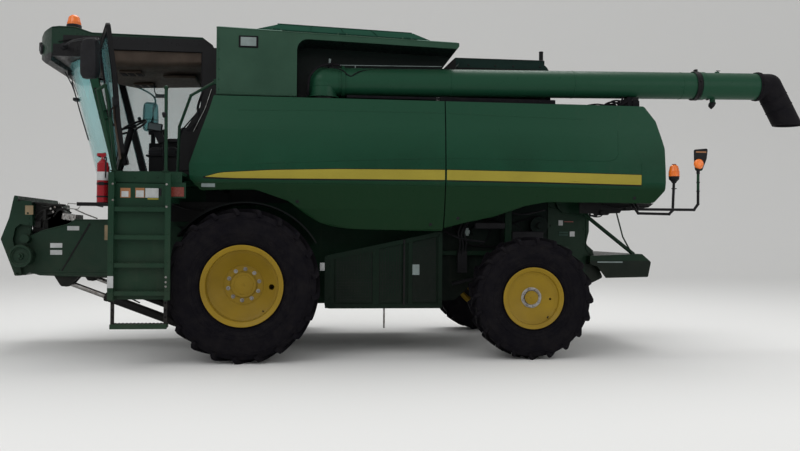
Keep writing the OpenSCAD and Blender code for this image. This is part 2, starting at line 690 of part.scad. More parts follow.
// Steering column and wheel
module steering_column() color(black) {
    translate([-1840, 0, cab_floor_z]) cylinder(h = 40, r = 70);
    bar([-1840, 0, cab_floor_z + 20], [-1650, 0, cab_floor_z + 720], 42);
    translate([-1640, 0, cab_floor_z + 740]) rotate([0, -28, 0]) {
        rotate_extrude() translate([195, 0]) circle(r = 15, $fn = 16);
        translate([0, 0, -30]) cylinder(h = 34, r = 55);
        for (a = [0, 120, 240])
            rotate([0, 0, a]) translate([0, -14, -10]) cube([195, 28, 14]);
    }
}

// Mirrors on arms from the front corners of the roof
mirror_y = 1970;
mirror_h = 430;
module mirrors() color(black) {
    right_side() mirror_set(-1715, 3262);
    mirror_set(-1940, 3140);
}
module mirror_set(x, z) {
    translate([-2300, cab_half_w - 5, 3880]) around_y() cylinder(h = 14, r = 40);
    bent_tube([[-2300, cab_half_w + 2, 3880], [-2100, 1300, 3900], [x, mirror_y - 170, 3850],
        [x, mirror_y - 170, z + mirror_h - 20]], 15);
    translate([x - 65, mirror_y - 330, z]) linear_extrude(mirror_h)
        polygon(rounded([[0, 0, 30], [90, 50, 30], [130, 330, 30], [40, 330, 30]], 3));
}

// Work lamps in the roof pod and clear lamps on the rear arms
module lamps() color("#e8e8e0") {
    for (y = [-560, -420, -210, 210, 420, 560])
        translate([roof_front_x + 1300, 0, 0])
            rotate([0, 0, asin(y / 1300)])
                translate([-1300 - 24 - seat_gap, 0, y == 560 || y == -560 ? 3840 : 3900])
                    rotate([0, 90, 0]) cylinder(h = 24, r = 48);
}

// Amber beacons on the roof and on the rear arms
module beacons() color("orange") {
    both_sides() translate([-2245, 600, beacon_seat_z + 40 + seat_gap]) beacon(82, 170);
    both_sides() translate([beacon_x, beacon_y, beacon_foot_z + 34 + seat_gap]) beacon(64, 150);
    both_sides() translate([5580, marker_y + 8 + seat_gap, 2416]) around_y() beacon(60, 45);
}
module beacon(r, h) rotate_extrude() polygon(rounded([[0, 0, 0], [r, 0, 0], [r, h * 0.45, 0],
    [r * 0.8, h * 0.85, r * 0.3], [r * 0.4, h, r * 0.2], [0, h, 0]], 3));
beacon_seat_z = 4070;
beacon_x = 5363;
beacon_y = 1500;
beacon_foot_z = 2236;

platform_rear_x = -680;

// Left platform with its box, toe boards and hand rails
module platform() color(green) mirror([0, 1, 0]) {
    box([-1460, cab_half_w, platform_z - 35], [platform_rear_x, platform_y, platform_z]);
    box([-1460, platform_y - 12, platform_z - 130], [platform_rear_x, platform_y, platform_z]);
    box([-1400, 1100, 1860], [-820, 1700, platform_z - 30]);
    box([-1400, cab_half_w, platform_z - 130], [-820, 1120, platform_z - 30]);
    bent_tube([[ladder_x, platform_y - 16, platform_z - 60], [ladder_x - 10, platform_y - 16, platform_z + 10],
        [-1625, platform_y - 16, 3114], [-1540, platform_y - 16, 3175], [-1500, platform_y - 16, 3000],
        [-1440, platform_y - 120, platform_z - 10]], 19);
    bar([-862, platform_y - 16, platform_z - 60], [-868, platform_y - 16, 3160], 19);
    translate([-868, platform_y - 16, 3165]) sphere(r = 27);
    bent_tube([[-822, 1300, platform_z - 20], [-805, 1300, 2790], [-650, 1440, 3150], [tank_front_x - 20, 1385, 3330]], 17);
    box([tank_front_x - 30, 1355, 3300], [tank_front_x, 1415, 3360]);
    // Ladder hinge lugs
    for (z = [platform_z - 105, platform_z - 330])
        difference() {
            union() {
                box([ladder_x - 20, platform_y - 200, z], [ladder_x + 20, ladder_y, z + 16]);
                translate([ladder_x, ladder_y, z]) cylinder(h = 16, r = 20);
            }
            translate([ladder_x, ladder_y, z - 1]) cylinder(h = 18, r = ladder_pin_r + bore_gap);
        }
    box([ladder_x - 30, platform_y - 215, platform_z - 330], [ladder_x + 30, platform_y - 195, platform_z - 30]);
    // Bracket of the extinguisher
    box([extinguisher_at[0] - 55, extinguisher_at[1] - extinguisher_r - 15, 1900],
        [extinguisher_at[0] + 55, extinguisher_at[1] - extinguisher_r, 2260]);
    box([extinguisher_at[0], extinguisher_at[1] - extinguisher_r - 15, 2100], [-1440, extinguisher_at[1] - extinguisher_r - 3, 2190]);
}

// Ladder with rigid steps and a hanging step
ladder_pin_r = 12;
module ladder() color(green) mirror([0, 1, 0]) {
    top = platform_z - 112;
    bottom = ladder_step_z - 50;
    for (x = [ladder_x, ladder_x + ladder_w])
        box([x - 32, ladder_y + 25, bottom], [x + 32, ladder_y + 52, top + 90]);
    // Sheet behind the steps
    box([ladder_x + 50, ladder_y - 50, bottom], [ladder_x + ladder_w - 50, ladder_y - 44, platform_z - 140]);
    for (i = [0 : 3])
        box([ladder_x - 10, ladder_y - 45, ladder_step_z + i * ladder_pitch],
            [ladder_x + ladder_w + 10, ladder_y + 40, ladder_step_z + 48 + i * ladder_pitch]);
    translate([ladder_x, ladder_y, platform_z - 310]) cylinder(h = 200, r = 20);
    translate([ladder_x, ladder_y, platform_z - 335]) cylinder(h = 250, r = ladder_pin_r);
    box([ladder_x - 15, ladder_y, platform_z - 300], [ladder_x + 15, ladder_y + 30, platform_z - 120]);
    // Straps and hanging step
    for (x = [ladder_x + 20, ladder_x + ladder_w - 20])
        box([x - 20, ladder_y + 10, hanging_step_z], [x + 20, ladder_y + 25.5, ladder_step_z + 60]);
    box([ladder_x, ladder_y - 60, hanging_step_z - 22], [ladder_x + ladder_w, ladder_y + 40, hanging_step_z + 22]);
}

// Fire extinguisher in its bracket
extinguisher_at = [-1548, 1868];
extinguisher_r = 62;
module fire_extinguisher() color("firebrick") translate([extinguisher_at[0], -extinguisher_at[1], 1845]) {
    cylinder(h = 440, r = extinguisher_r);
    translate([0, 0, 440]) cylinder(h = 40, r1 = extinguisher_r, r2 = 25);
    translate([0, 0, 480]) cylinder(h = 50, r = 22);
    translate([-60, -12, 520]) cube([95, 24, 34]);
}

// Feeder house: a box open at the mouth and at the throat
feeder_mouth_x = -2720;
module feeder_side() polygon(rounded([[feeder_mouth_x, 1000, 0], [feeder_mouth_x, 1455, 0],
    [-2556, 1532, 60], [-2260, 1612, 60], [-2171, 1672, 40], [-1744, 1672, 60], [feeder_pivot_x - 60, 1800, 60],
    [feeder_pivot_x, 1480, 0], [feeder_pivot_x - 60, 1160, 60], [-1740, 930, 60], [-2585, 962, 60]]));
module feeder_house() color(green) {
    difference() {
        along_y(-feeder_half_w, feeder_half_w) union() {
            feeder_side();
            translate([feeder_pivot_x, feeder_pivot_z]) circle(r = feeder_end_r);
        }
        along_y(-feeder_half_w + feeder_wall, feeder_half_w - feeder_wall) union() {
            polygon([[feeder_mouth_x - 10, 1030], [feeder_mouth_x - 10, 1425], [-2548, 1502], [-2250, 1582],
                [-2164, 1642], [-1738, 1642], [feeder_pivot_x - 66, 1768], [feeder_pivot_x - 66, 1192],
                [-1740, 960], [-2580, 992]]);
            translate([feeder_pivot_x, feeder_pivot_z]) circle(r = feeder_end_r - feeder_wall);
        }
        box([feeder_pivot_x, -feeder_half_w + feeder_wall, feeder_pivot_z - 250],
            [feeder_pivot_x + 400, feeder_half_w - feeder_wall, feeder_pivot_z + 250]);
    }
    // Face frame that takes a header
    difference() {
        union() {
            along_y(-feeder_half_w - 60, feeder_half_w + 60) polygon(rounded([
                [feeder_front_x, 1416, 10], [-2943, 1680, 0], [-2885, 1960, 12], [-2845, 1955, 10],
                [-2830, 1905, 10], [-2676, 1890, 10], [-2662, 1581, 10], [-2811, 1604, 10], [-2870, 1554, 20],
                [-2898, 1405, 0], [-2790, 1010, 10], [-2790, 962, 10], [-2865, 960, 10]]));
            along_y(-feeder_half_w, feeder_half_w) polygon([[feeder_front_x + 30, 1416], [-2943, 1640],
                [-2690, 1620], [feeder_mouth_x + 8, 1455], [feeder_mouth_x + 8, 1000], [-2760, 965], [-2850, 965]]);
        }
        along_y(-feeder_half_w + feeder_wall, feeder_half_w - feeder_wall)
            polygon([[-3200, 1030], [-3200, 1425], [-2700, 1425], [-2700, 1030]]);
        along_y(-feeder_half_w + 40, feeder_half_w - 40)
            polygon([[-3000, 1520], [-2925, 1780], [-2600, 1790], [-2600, 1520]]);
    }
    // Drive boss and hydraulic coupler
    for (row = [[-2770, 1208, 132, 150], [-2745, 1420, 55, 110]])
        translate([row[0], -feeder_half_w + 5, row[1]]) rotate([90, 0, 0]) cylinder(h = row[3], r = row[2]);
    translate([-2770, -feeder_half_w - 140, 1208]) rotate([90, 0, 0]) cylinder(h = 65, r = 17.5);
    both_sides() translate([-2840, feeder_half_w + 55, 985]) around_y() cylinder(h = 65, r = 15);
    box([-2520, -640, 1520], [-2180, -330, 1730]);
    translate([-2400, -640, 1700]) rotate([-90, 0, 0]) cylinder(h = 300, r = 85);
    // Cylinder lugs
    both_sides() for (y = [lift_y - lift_barrel_r - 25, lift_y + lift_barrel_r + 3])
        along_y(y, y + 22) polygon(rounded([[lift_rod_x - 150, 975, 0], [lift_rod_x - 55, lift_rod_z - 50, 45],
            [lift_rod_x + 55, lift_rod_z - 50, 45], [lift_rod_x + 170, 955, 0]]));
    both_sides() translate([lift_rod_x, lift_y - lift_barrel_r - 10, lift_rod_z]) around_y()
        cylinder(h = 2 * lift_barrel_r + 20, r = lift_pin_r);
    // Trunnions that turn in the frame
    both_sides() translate([feeder_pivot_x, feeder_half_w - 5, feeder_pivot_z]) around_y() cylinder(h = 58, r = trunnion_r);
}

// Feeder conveyor: drum, two roller chains and slats
conveyor_low = [-2480, 1240];
conveyor_high = [-1100, 1470];
module feeder_chain() color(steel) {
    along = conveyor_high - conveyor_low;
    length = norm(along);
    pitch_angle = atan2(along[1], along[0]);
    translate([conveyor_low[0], 0, conveyor_low[1]]) rotate([0, -pitch_angle, 0]) {
        for (end = [[0, 150], [length, 130]])
            translate([end[0], -640, 0]) around_y() cylinder(h = 1280, r = end[1]);
        for (y = [-560, -10, 540])
            translate([0, y, 0]) rotate([90, 0, 0]) translate([0, 0, -30]) linear_extrude(30) difference() {
                union() {
                    circle(r = 172);
                    translate([0, -172]) square([length, 344]);
                    translate([length, 0]) circle(r = 172);
                }
                union() {
                    circle(r = 149);
                    translate([0, -149]) square([length, 298]);
                    translate([length, 0]) circle(r = 149);
                }
            }
        for (i = [0 : 8], s = [-1, 1])
            translate([60 + i * (length - 120) / 8, -620, s * 172 - 12]) cube([36, 1240, 24]);
    }
    for (end = [conveyor_low, conveyor_high])
        translate([end[0], -feeder_half_w + feeder_wall, end[1]]) around_y()
            cylinder(h = 2 * (feeder_half_w - feeder_wall), r = 40);
}

// Lift cylinders of the feeder house
lift_pin_r = 22;
lift_base_x = -700;
lift_base_z = 262;
lift_rod_x = -2290;
lift_rod_z = 872;
lift_dir = unit([lift_rod_x - lift_base_x, 0, lift_rod_z - lift_base_z]);
lift_len = norm([lift_rod_x - lift_base_x, 0, lift_rod_z - lift_base_z]);
module on_lift_axis() both_sides() translate([lift_base_x, lift_y, lift_base_z])
    rotate([0, atan2(lift_dir[0], lift_dir[2]), 0]) children();
module lift_barrels() color(black) on_lift_axis() difference() {
    union() {
        translate([0, 0, 30]) cylinder(h = lift_barrel_len - 30, r = lift_barrel_r);
        translate([0, 38, 0]) rotate([90, 0, 0]) cylinder(h = 76, r = 50);
        translate([0, lift_barrel_r + 24, 0]) rotate([90, 0, 0]) cylinder(h = 2 * lift_barrel_r + 48, r = lift_pin_r);
    }
    translate([0, 0, 120]) cylinder(h = lift_barrel_len, r = lift_rod_r + bore_gap);
}
eye_play = 15.5;
module lift_rods() color(steel) on_lift_axis() difference() {
    union() {
        translate([0, 0, lift_len - lift_rod_len]) cylinder(h = lift_rod_len - 45, r = lift_rod_r);
        translate([0, 0, lift_len]) rotate([90, 0, 0]) cylinder(h = 80, r = 58, center = true);
    }
    translate([0, 0, lift_len]) rotate([90, 0, 0]) cylinder(h = 90, r = lift_pin_r + eye_play, center = true);
}

// Grain tank: hollow, open at the top and on the left below the auger
tank_shelf_z = panel_top_z + 13;
tank_floor_z = frame_top_z;
function tank_top(x) = tank_top_z - (x - tank_front_x) * tan(tank_slope);
function tank_rows(t) = [[tank_half_w - t, tank_top_z + (t > 0 ? 100 : 0)], [tank_half_w - t, tank_shelf_z + t],
    [1330 - t, tank_shelf_z + t], [620 - t * 0.6, tank_floor_z + t]];
module tank_section(t) polygon(concat(tank_rows(t), [for (i = [3 : -1 : 0]) [-tank_rows(t)[i][0], tank_rows(t)[i][1]]]));
module tank_recess(grow) along_y(-tank_half_w - 50, -auger_y + auger_r + 45 + grow)
    polygon(rounded([[tank_box_x - grow, tank_shelf_z - 1, 0], [tank_box_x - grow, tank_top(tank_box_x) - 75 + grow, 130],
        [tank_rear_x + 100, tank_top(tank_rear_x) - 75 + grow, 0], [tank_rear_x + 100, tank_shelf_z - 1, 0]]));
module grain_tank() color(green) {
    difference() {
        union() {
            difference() {
                along_x(tank_front_x, tank_rear_x) tank_section(0);
                along_x(tank_front_x + tank_wall, tank_rear_x - tank_wall) tank_section(tank_wall);
            }
            intersection() {
                along_x(tank_front_x + 5, tank_rear_x - 5) tank_section(5);
                tank_recess(tank_wall);
                box([0, -tank_half_w, tank_shelf_z], [tank_rear_x, 0, tank_top_z - 20]);
            }
        }
        tank_recess(0);
        along_y(-2000, 2000) polygon([[tank_rear_x + 1, tank_top(tank_rear_x) - 40], [tank_rear_x - 220, 3560],
            [tank_rear_x - 220, 2000], [tank_rear_x + 1, 2000]]);
        along_y(-2000, 2000) polygon([[tank_front_x - 10, tank_top(tank_front_x - 10) - 8],
            [tank_rear_x + 10, tank_top(tank_rear_x + 10) - 8], [tank_rear_x + 10, 4300], [tank_front_x - 10, 4300]]);
    }
    // Floor of the auger recess over the slope of the hopper
    difference() {
        box([tank_box_x - tank_wall + 4, -tank_half_w + 102, tank_shelf_z - 25],
            [tank_rear_x - 230, -auger_y + auger_r + 41 + tank_wall, tank_shelf_z + 10]);
        tank_recess(0);
        translate([auger_x, -auger_y, tank_shelf_z - 100]) cylinder(h = 200, r = auger_r - 60);
    }
    // Rear wall following the slanted back
    along_y(-auger_y + auger_r + 45, tank_half_w) polygon([[tank_rear_x - 1, tank_top(tank_rear_x) - 6],
            [tank_rear_x - 40, tank_top(tank_rear_x) - 6], [tank_rear_x - 260, 3565],
            [tank_rear_x - 260, tank_shelf_z + 1], [tank_rear_x - 221, tank_shelf_z + 1], [tank_rear_x - 221, 3560]]);
    along_x(tank_rear_x - 260, tank_rear_x - 221) intersection() {
        tank_section(0);
        translate([-auger_y + auger_r + 50, tank_floor_z]) square([3000, 1600]);
    }
    along_x(tank_rear_x - 260, tank_rear_x - 221)
        polygon([[-1300, tank_shelf_z - 1], [-620, tank_floor_z], [0, tank_floor_z], [0, tank_shelf_z - 1]]);
    // Roof plate round the covers
    difference() {
        along_y(-tank_half_w, tank_half_w) polygon([[tank_front_x, tank_top_z - 24], [tank_front_x, tank_top_z],
            [tank_rear_x, tank_top(tank_rear_x)], [tank_rear_x, tank_top(tank_rear_x) - 24]]);
        box([cover_front_x + 60, -1330, tank_top_z - 200], [cover_rear_x - 60, 1330, tank_top_z + 20]);
    }
    on_tank_top() both_sides() cover_pins();
    // Fixed foot of the unloading auger
    translate([auger_x, -auger_y, tank_shelf_z - foot_drop]) difference() {
        union() {
            cylinder(h = foot_drop + 25, r = auger_r - 10);
            cylinder(h = foot_drop + 60, r = auger_r - 40);
        }
        translate([0, 0, -1]) cylinder(h = 300, r = auger_r - 60);
    }
}

foot_drop = 48;

// Tank covers: two hollow leaves with slanted ends, hinged at the outer edges, built on the sloping rim
module on_tank_top() translate([tank_front_x, 0, tank_top_z]) rotate([0, tank_slope, 0]) children();
cover_y = tank_half_w - 26;
cover_z = 20;
cover_hinges = [710, 1510, 2310];
cover_front_run = 210;
cover_rear_run = 70;
module cover_pins() for (x = cover_hinges) {
    bar([x - 60, cover_y + 14, cover_z], [x + 60, cover_y + 14, cover_z], pin_r);
    for (s = [-1, 1])
        box([x + s * 54 - 7, cover_y + 2, -4], [x + s * 54 + 7, cover_y + 26, cover_z + 9]);
}
module cover_solid(drop, inset) {
    x0 = cover_front_x - tank_front_x + inset;
    x1 = cover_rear_x - tank_front_x - inset;
    y0 = 3 - (drop > 0 ? 10 : 0);
    y1 = cover_y - inset;
    z0 = 8 - (drop > 0 ? 30 : 0);
    z1 = cover_rise - drop;
    polyhedron(points = [[x0, y0, z0], [x1, y0, z0], [x1, y1, z0], [x0, y1, z0],
            [x0 + cover_front_run, y0, z1], [x1 - cover_rear_run, y0, z1]],
        faces = [[0, 1, 2, 3], [3, 2, 5, 4], [0, 3, 4], [1, 5, 2], [0, 4, 5, 1]]);
}
module cover() on_tank_top() difference() {
    union() {
        difference() {
            cover_solid(0, 0);
            cover_solid(18, 18);
        }
        for (x = cover_hinges) {
            bar([x - 42, cover_y + 14, cover_z], [x + 42, cover_y + 14, cover_z], hinge_r);
            box([x - 42, cover_y - 60, cover_z - 11], [x + 42, cover_y + 8, cover_z - 1]);
        }
    }
    for (x = cover_hinges)
        bar([x - 90, cover_y + 14, cover_z], [x + 90, cover_y + 14, cover_z], pin_r + bore_gap);
}
module tank_cover_right() color(green) cover();
module tank_cover_left() color(green) right_side() cover();

// Unloading auger: turning elbow, tube, clamp band and lamp
auger_end = [auger_x + auger_len * cos(auger_rise), -auger_y, auger_z + auger_len * sin(auger_rise)];
module on_auger() translate([auger_x, -auger_y, auger_z]) rotate([0, -auger_rise, 0]) rotate([0, 90, 0]) children();
module unloading_auger() color(green) {
    difference() {
        union() {
            translate([auger_x, -auger_y, tank_shelf_z + 25.3]) cylinder(h = auger_z - tank_shelf_z - 25, r = auger_r);
            translate([auger_x, -auger_y, auger_z]) sphere(r = auger_r + 2);
            on_auger() cylinder(h = auger_len, r = auger_r - 1);
        }
        translate([auger_x, -auger_y, tank_shelf_z + 20]) cylinder(h = 45, r = auger_r - 40 + bore_gap);
        on_auger() translate([0, 0, 200]) cylinder(h = auger_len, r = auger_r - 18);
    }
    on_auger() difference() {
        translate([0, 0, auger_len - 815]) cylinder(h = 70, r = auger_r + 8);
        translate([0, 0, auger_len - 825]) cylinder(h = 90, r = auger_r - 10);
    }
    on_auger() translate([auger_r - 4, 0, auger_len - 610]) rotate([0, 90, 0]) cylinder(h = 60, r = 35);
}

// Rubber spout at the end of the tube: sleeve, bend and slanted drop, open at its level end
spout_r = 170;
spout_wall = 20;
spout_bend = 172;
spout_drop = 61.5;
spout_end_z = 3000;
module spout_path(r) {
    on_auger() {
        translate([0, 0, auger_len + seat_gap]) cylinder(h = spout_bend, r = r);
        translate([0, 0, auger_len + spout_bend]) sphere(r = r);
    }
    translate([auger_end[0] + spout_bend, auger_end[1], auger_end[2]])
        rotate([0, 90 + spout_drop, 0]) cylinder(h = 780, r = r);
}
module auger_spout() color(black) difference() {
    union() {
        on_auger() translate([0, 0, auger_len - 20]) difference() {
            cylinder(h = 60, r = auger_r + 12);
            translate([0, 0, -1]) cylinder(h = 21 + seat_gap, r = auger_r);
        }
        spout_path(spout_r);
    }
    spout_path(spout_r - spout_wall);
    on_auger() translate([0, 0, auger_len - 1]) cylinder(h = 30, r = spout_r - spout_wall);
    box([auger_end[0], auger_end[1] - 400, spout_end_z - 500], [spout_reach + 400, auger_end[1] + 400, spout_end_z]);
}

// Shields on both sides of the cleaning shoe
shield_y = 1200;
shield_rows = [[960, 580, 60], [960, 1235, 40], [2367, 1540, 60], [2440, 1545, 20], [2440, 580, 20]];
module lower_shields() color(green) both_sides() {
    difference() {
        along_y(shield_y - 30, shield_y) polygon(rounded(shield_rows));
        for (row = [[1010, 1560, 640, 1180, 1290], [1640, 2010, 640, 1330, 1410], [2060, 2390, 640, 1420, 1490]])
            along_y(shield_y - 12, shield_y + 1)
                polygon([[row[0], row[2]], [row[0], row[3]], [row[1], row[4]], [row[1], row[2]]]);
    }
    along_y(frame_half_w + 0.3, shield_y - 29) polygon([[2420, 1500], [1900, 1415], [1900, 1430], [2420, 1520]]);
    along_y(frame_half_w + 0.3, shield_y - 29) polygon([[2420, 600], [2000, 600], [2000, 620], [2420, 620]]);
}

// Engine: one block
module engine() color(steel) box([2900, -420, engine_z], [3850, 420, deck_z - 60]);

// Engine deck, hood, exhaust and auger saddle
module engine_deck() color(green) {
    // Cooler box behind the screen
    box([screen_x - 500, 860, 2130], [screen_x + 500, rail_y - 35, deck_z - 45]);
    translate([screen_x, rail_y - 40, screen_z]) around_y() cylinder(h = screen_y - 10 - rail_y, r = screen_r);
    box([tank_rear_x, -rail_y + 30, deck_z - 50], [5040, rail_y - 30, deck_z]);
    along_y(-900, 1300) polygon(rounded([[hood_front_x, deck_z - 5, 0], [hood_front_x, 3780, 60],
        [hood_rear_x, 3780, 120], [hood_rear_x + 40, deck_z - 5, 0]]));
    box([hood_front_x + 10, -600, 3770], [hood_rear_x + 35, 600, 3892]);
    translate([hood_rear_x + 75, -300, 3500]) cylinder(h = 585, r = 29);
    box([hood_rear_x - 30, -320, 3600], [hood_rear_x + 75, -280, 3640]);
    // Saddle below the auger tube
    along_x(saddle_x - 40, saddle_x + 40) difference() {
        polygon([[-auger_y - 110, deck_z - 5], [-auger_y + 130, deck_z - 5], [-auger_y + 205, saddle_z + 90],
            [-auger_y + 120, saddle_z + 60], [-auger_y, saddle_z - seat_gap], [-auger_y - 110, saddle_z - seat_gap]]);
        translate([-auger_y, saddle_z + auger_r]) circle(r = auger_r + seat_gap);
    }
}
saddle_x = 4940;
saddle_z = auger_z + (saddle_x - auger_x) * sin(auger_rise) - auger_r;

// Residue chopper with its tailboard and struts
module residue_chopper() color(green) {
    along_y(-chopper_half_w, chopper_half_w) polygon(rounded([[frame_rear_x, 1300, 0], [frame_rear_x, 2000, 0],
        [4500, 2000, 0], [4532, 1770, 60], [4532, 1570, 80], [4491, 1398, 50], [4589, 1290, 40], [4646, 1128, 40],
        [4730, 945, 30], [4577, 872, 50], [4060, 900, 100]]));
    // Round bearing housings
    both_sides() intersection() {
        translate([4223, chopper_half_w - 5, 1970]) around_y() cylinder(h = 60, r = 165);
        box([4000, chopper_half_w - 10, 1700], [4500, chopper_half_w + 80, 1999]);
    }
    // Tailboard, open below
    difference() {
        along_y(-860, 860) polygon(rounded([[4500, 1130, 0], [4500, 1242, 0], [5221, 1270, 30], [5348, 1162, 30],
            [5307, 960, 20], [4720, 946, 0], [4600, 1100, 0]]));
        along_y(-846, 846) polygon([[4640, 1224], [5214, 1248], [5328, 1156], [5284, 900], [4640, 900]]);
    }
    both_sides() bar([4470, 705, 1800], [5130, 800, 1262], 26);
    both_sides() bent_tube([[4856, 760, 1985], [4975, 800, 1497], [5100, 820, 1262]], 10);
}

// Hood at the rear with lamp arms and the rear ladder
module rear_hood() color(green) {
    along_y(-rear_hood_half_w, rear_hood_half_w) polygon(rounded([[frame_rear_x, 2000, 0], [frame_rear_x, deck_z - 50, 0],
        [rear_hood_x - 60, deck_z - 50, 40], [rear_hood_x, 2700, 200], [rear_hood_x, 2100, 60], [rear_hood_x - 80, 2000, 40]]));
    both_sides() {
        bent_tube([[4830, rear_hood_half_w - 25, 2010], [4930, beacon_y - 90, 1800], [5300, beacon_y, 1792],
            [beacon_x - 16, beacon_y, 1840], [beacon_x, beacon_y, beacon_foot_z + 4]], 17);
        translate([beacon_x, beacon_y, beacon_foot_z]) cylinder(h = 34, r = 58);
        bent_tube([[4890, rear_hood_half_w - 25, 2030], [4920, marker_y - 250, 1850], [5530, marker_y, 1843],
            [5582, marker_y, 1915], [5582, marker_y, 2350]], 17);
        along_y(marker_y - 8, marker_y + 8) polygon(rounded([[5527, 2595, 20], [5705, 2612, 20], [5690, 2480, 30],
            [5630, 2330, 25], [5545, 2330, 25], [5530, 2450, 0]]));
    }
    for (y = [500, 900])
        box([rear_hood_x + 60, y - 20, 2080], [rear_hood_x + 85, y + 20, 3090]);
    for (i = [0 : 3])
        box([rear_hood_x + 60, 500, 2110 + i * 300], [rear_hood_x + 110, 900, 2140 + i * 300]);
    for (y = [500, 900], z = [2150, 2600])
        box([rear_hood_x - 20, y - 15, z], [rear_hood_x + 65, y + 15, z + 40]);
}

in_place() main_frame();
in_place() front_axle();
in_place() rear_axle();
in_place() knuckle_left();
in_place() knuckle_right();
in_place() tie_rod();
in_place() front_rim_left();
in_place() front_rim_right();
in_place() front_tyre_left();
in_place() front_tyre_right();
in_place() rear_rim_left();
in_place() rear_rim_right();
in_place() rear_tyre_left();
in_place() rear_tyre_right();
in_place() cab_shell();
in_place() cab_roof();
in_place() cab_glass();
in_place() cab_door();
in_place() door_glass();
in_place() seat();
in_place() steering_column();
in_place() mirrors();
in_place() lamps();
in_place() beacons();
in_place() platform();
in_place() ladder();
in_place() fire_extinguisher();
in_place() feeder_house();
in_place() feeder_chain();
in_place() lift_barrels();
in_place() lift_rods();
in_place() grain_tank();
in_place() tank_cover_left();
in_place() tank_cover_right();
in_place() unloading_auger();
in_place() auger_spout();
in_place() panel_left_front();
in_place() panel_left_rear();
in_place() panel_right_front();
in_place() panel_right_rear();
in_place() lower_shields();
in_place() engine();
in_place() engine_deck();
in_place() cooling_screen();
in_place() residue_chopper();
in_place() rear_hood();
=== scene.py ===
import json
import math
import bpy
import bmesh
from mathutils import Matrix, Vector


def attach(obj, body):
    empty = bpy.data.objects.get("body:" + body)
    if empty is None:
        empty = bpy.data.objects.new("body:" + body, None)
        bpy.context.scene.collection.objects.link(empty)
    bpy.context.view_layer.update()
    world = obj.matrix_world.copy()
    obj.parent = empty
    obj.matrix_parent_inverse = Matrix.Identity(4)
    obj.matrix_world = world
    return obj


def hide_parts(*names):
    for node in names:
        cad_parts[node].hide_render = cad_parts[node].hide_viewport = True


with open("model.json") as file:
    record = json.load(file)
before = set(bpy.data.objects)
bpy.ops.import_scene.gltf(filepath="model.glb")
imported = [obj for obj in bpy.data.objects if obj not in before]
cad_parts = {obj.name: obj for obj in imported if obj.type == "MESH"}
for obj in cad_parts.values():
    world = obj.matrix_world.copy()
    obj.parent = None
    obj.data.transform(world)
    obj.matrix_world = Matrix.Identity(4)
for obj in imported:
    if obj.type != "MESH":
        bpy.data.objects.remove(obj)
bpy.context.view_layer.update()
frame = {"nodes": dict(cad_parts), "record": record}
NODES = frame["nodes"]
AXLE_X = -2.095                     # metres, the front axle in the row frame
FRONT_Z, REAR_X, REAR_Z = 900, 3485, 745   # wheel centres, millimetres from the ground below the front axle
SIDES = {"left": -1, "right": 1}
BOTH = (-1, 1)                      # left, then right: a Build that loops over it ends plain
FULL = 2 * math.pi


def P(x, y, z):
    """A place measured in millimetres from the ground below the front axle."""
    return Vector((x / 1000 + AXLE_X, y / 1000, z / 1000))


# camera
scene = bpy.context.scene
SENSOR, FOCAL_PX, IMAGE_PX = 36, 788.8, 800
CAMERA_AT = (-1.303, -11.061, 1.514)
yaw, pitch, roll = (math.radians(a) for a in (6.405, 0.621, 0.424))
ahead = Vector((math.sin(yaw) * math.cos(pitch), math.cos(yaw) * math.cos(pitch), math.sin(pitch)))
level = Vector((math.cos(yaw), -math.sin(yaw), 0))
above = level.cross(ahead)
right = level * math.cos(roll) + above * math.sin(roll)
up = above * math.cos(roll) - level * math.sin(roll)
cam_data = bpy.data.cameras.new("camera")
cam_data.sensor_fit = "HORIZONTAL"
cam_data.sensor_width = SENSOR
cam_data.lens = FOCAL_PX / IMAGE_PX * SENSOR
cam_data.clip_end = 200
cam = bpy.data.objects.new("camera", cam_data)
scene.collection.objects.link(cam)
cam.matrix_world = Matrix([(right[i], up[i], -ahead[i], CAMERA_AT[i]) for i in range(3)] + [(0, 0, 0, 1)])
scene.camera = cam
scene.view_settings.view_transform = "Standard"


# materials
def shader(m):
    return m.node_tree.nodes["Principled BSDF"]


def new_material(name, color, rough=0.5, metal=0.0, coat=0.0, sheen=0.0, spec=0.5):
    m = bpy.data.materials.new(name)
    m.use_nodes = True
    for socket, value in (("Base Color", (*color, 1)), ("Roughness", rough), ("Metallic", metal),
                          ("Coat Weight", coat),
                          ("Coat Roughness", 0.12), ("Sheen Weight", sheen), ("Specular IOR Level", spec)):
        shader(m).inputs[socket].default_value = value
    return m


def node(m, kind, **values):
    n = m.node_tree.nodes.new(kind)
    for k, v in values.items():
        if k in n.inputs.keys():
            n.inputs[k].default_value = v
        else:
            setattr(n, k, v)
    return n


def feed(m, value, socket):
    """Gives a socket a fixed value or another node's output."""
    if isinstance(value, bpy.types.NodeSocket):
        m.node_tree.links.new(value, socket)
    else:
        socket.default_value = value


def noise(m, scale, detail=3.0, rough=0.55, stretch=(1, 1, 1)):
    spread = node(m, "ShaderNodeMapping", Scale=stretch)
    n = node(m, "ShaderNodeTexNoise", Scale=scale, Detail=detail, Roughness=rough)
    feed(m, node(m, "ShaderNodeTexCoord").outputs["Object"], spread.inputs["Vector"])
    feed(m, spread.outputs["Vector"], n.inputs["Vector"])
    return n.outputs["Fac"]


def ramp(m, value, lo, hi, a=0.0, b=1.0):
    n = node(m, "ShaderNodeMapRange", **{"From Min": lo, "From Max": hi, "To Min": a, "To Max": b})
    feed(m, value, n.inputs["Value"])
    return n.outputs["Result"]


def math2(m, op, a, b):
    n = node(m, "ShaderNodeMath", operation=op)
    feed(m, a, n.inputs[0])
    feed(m, b, n.inputs[1])
    return n.outputs[0]


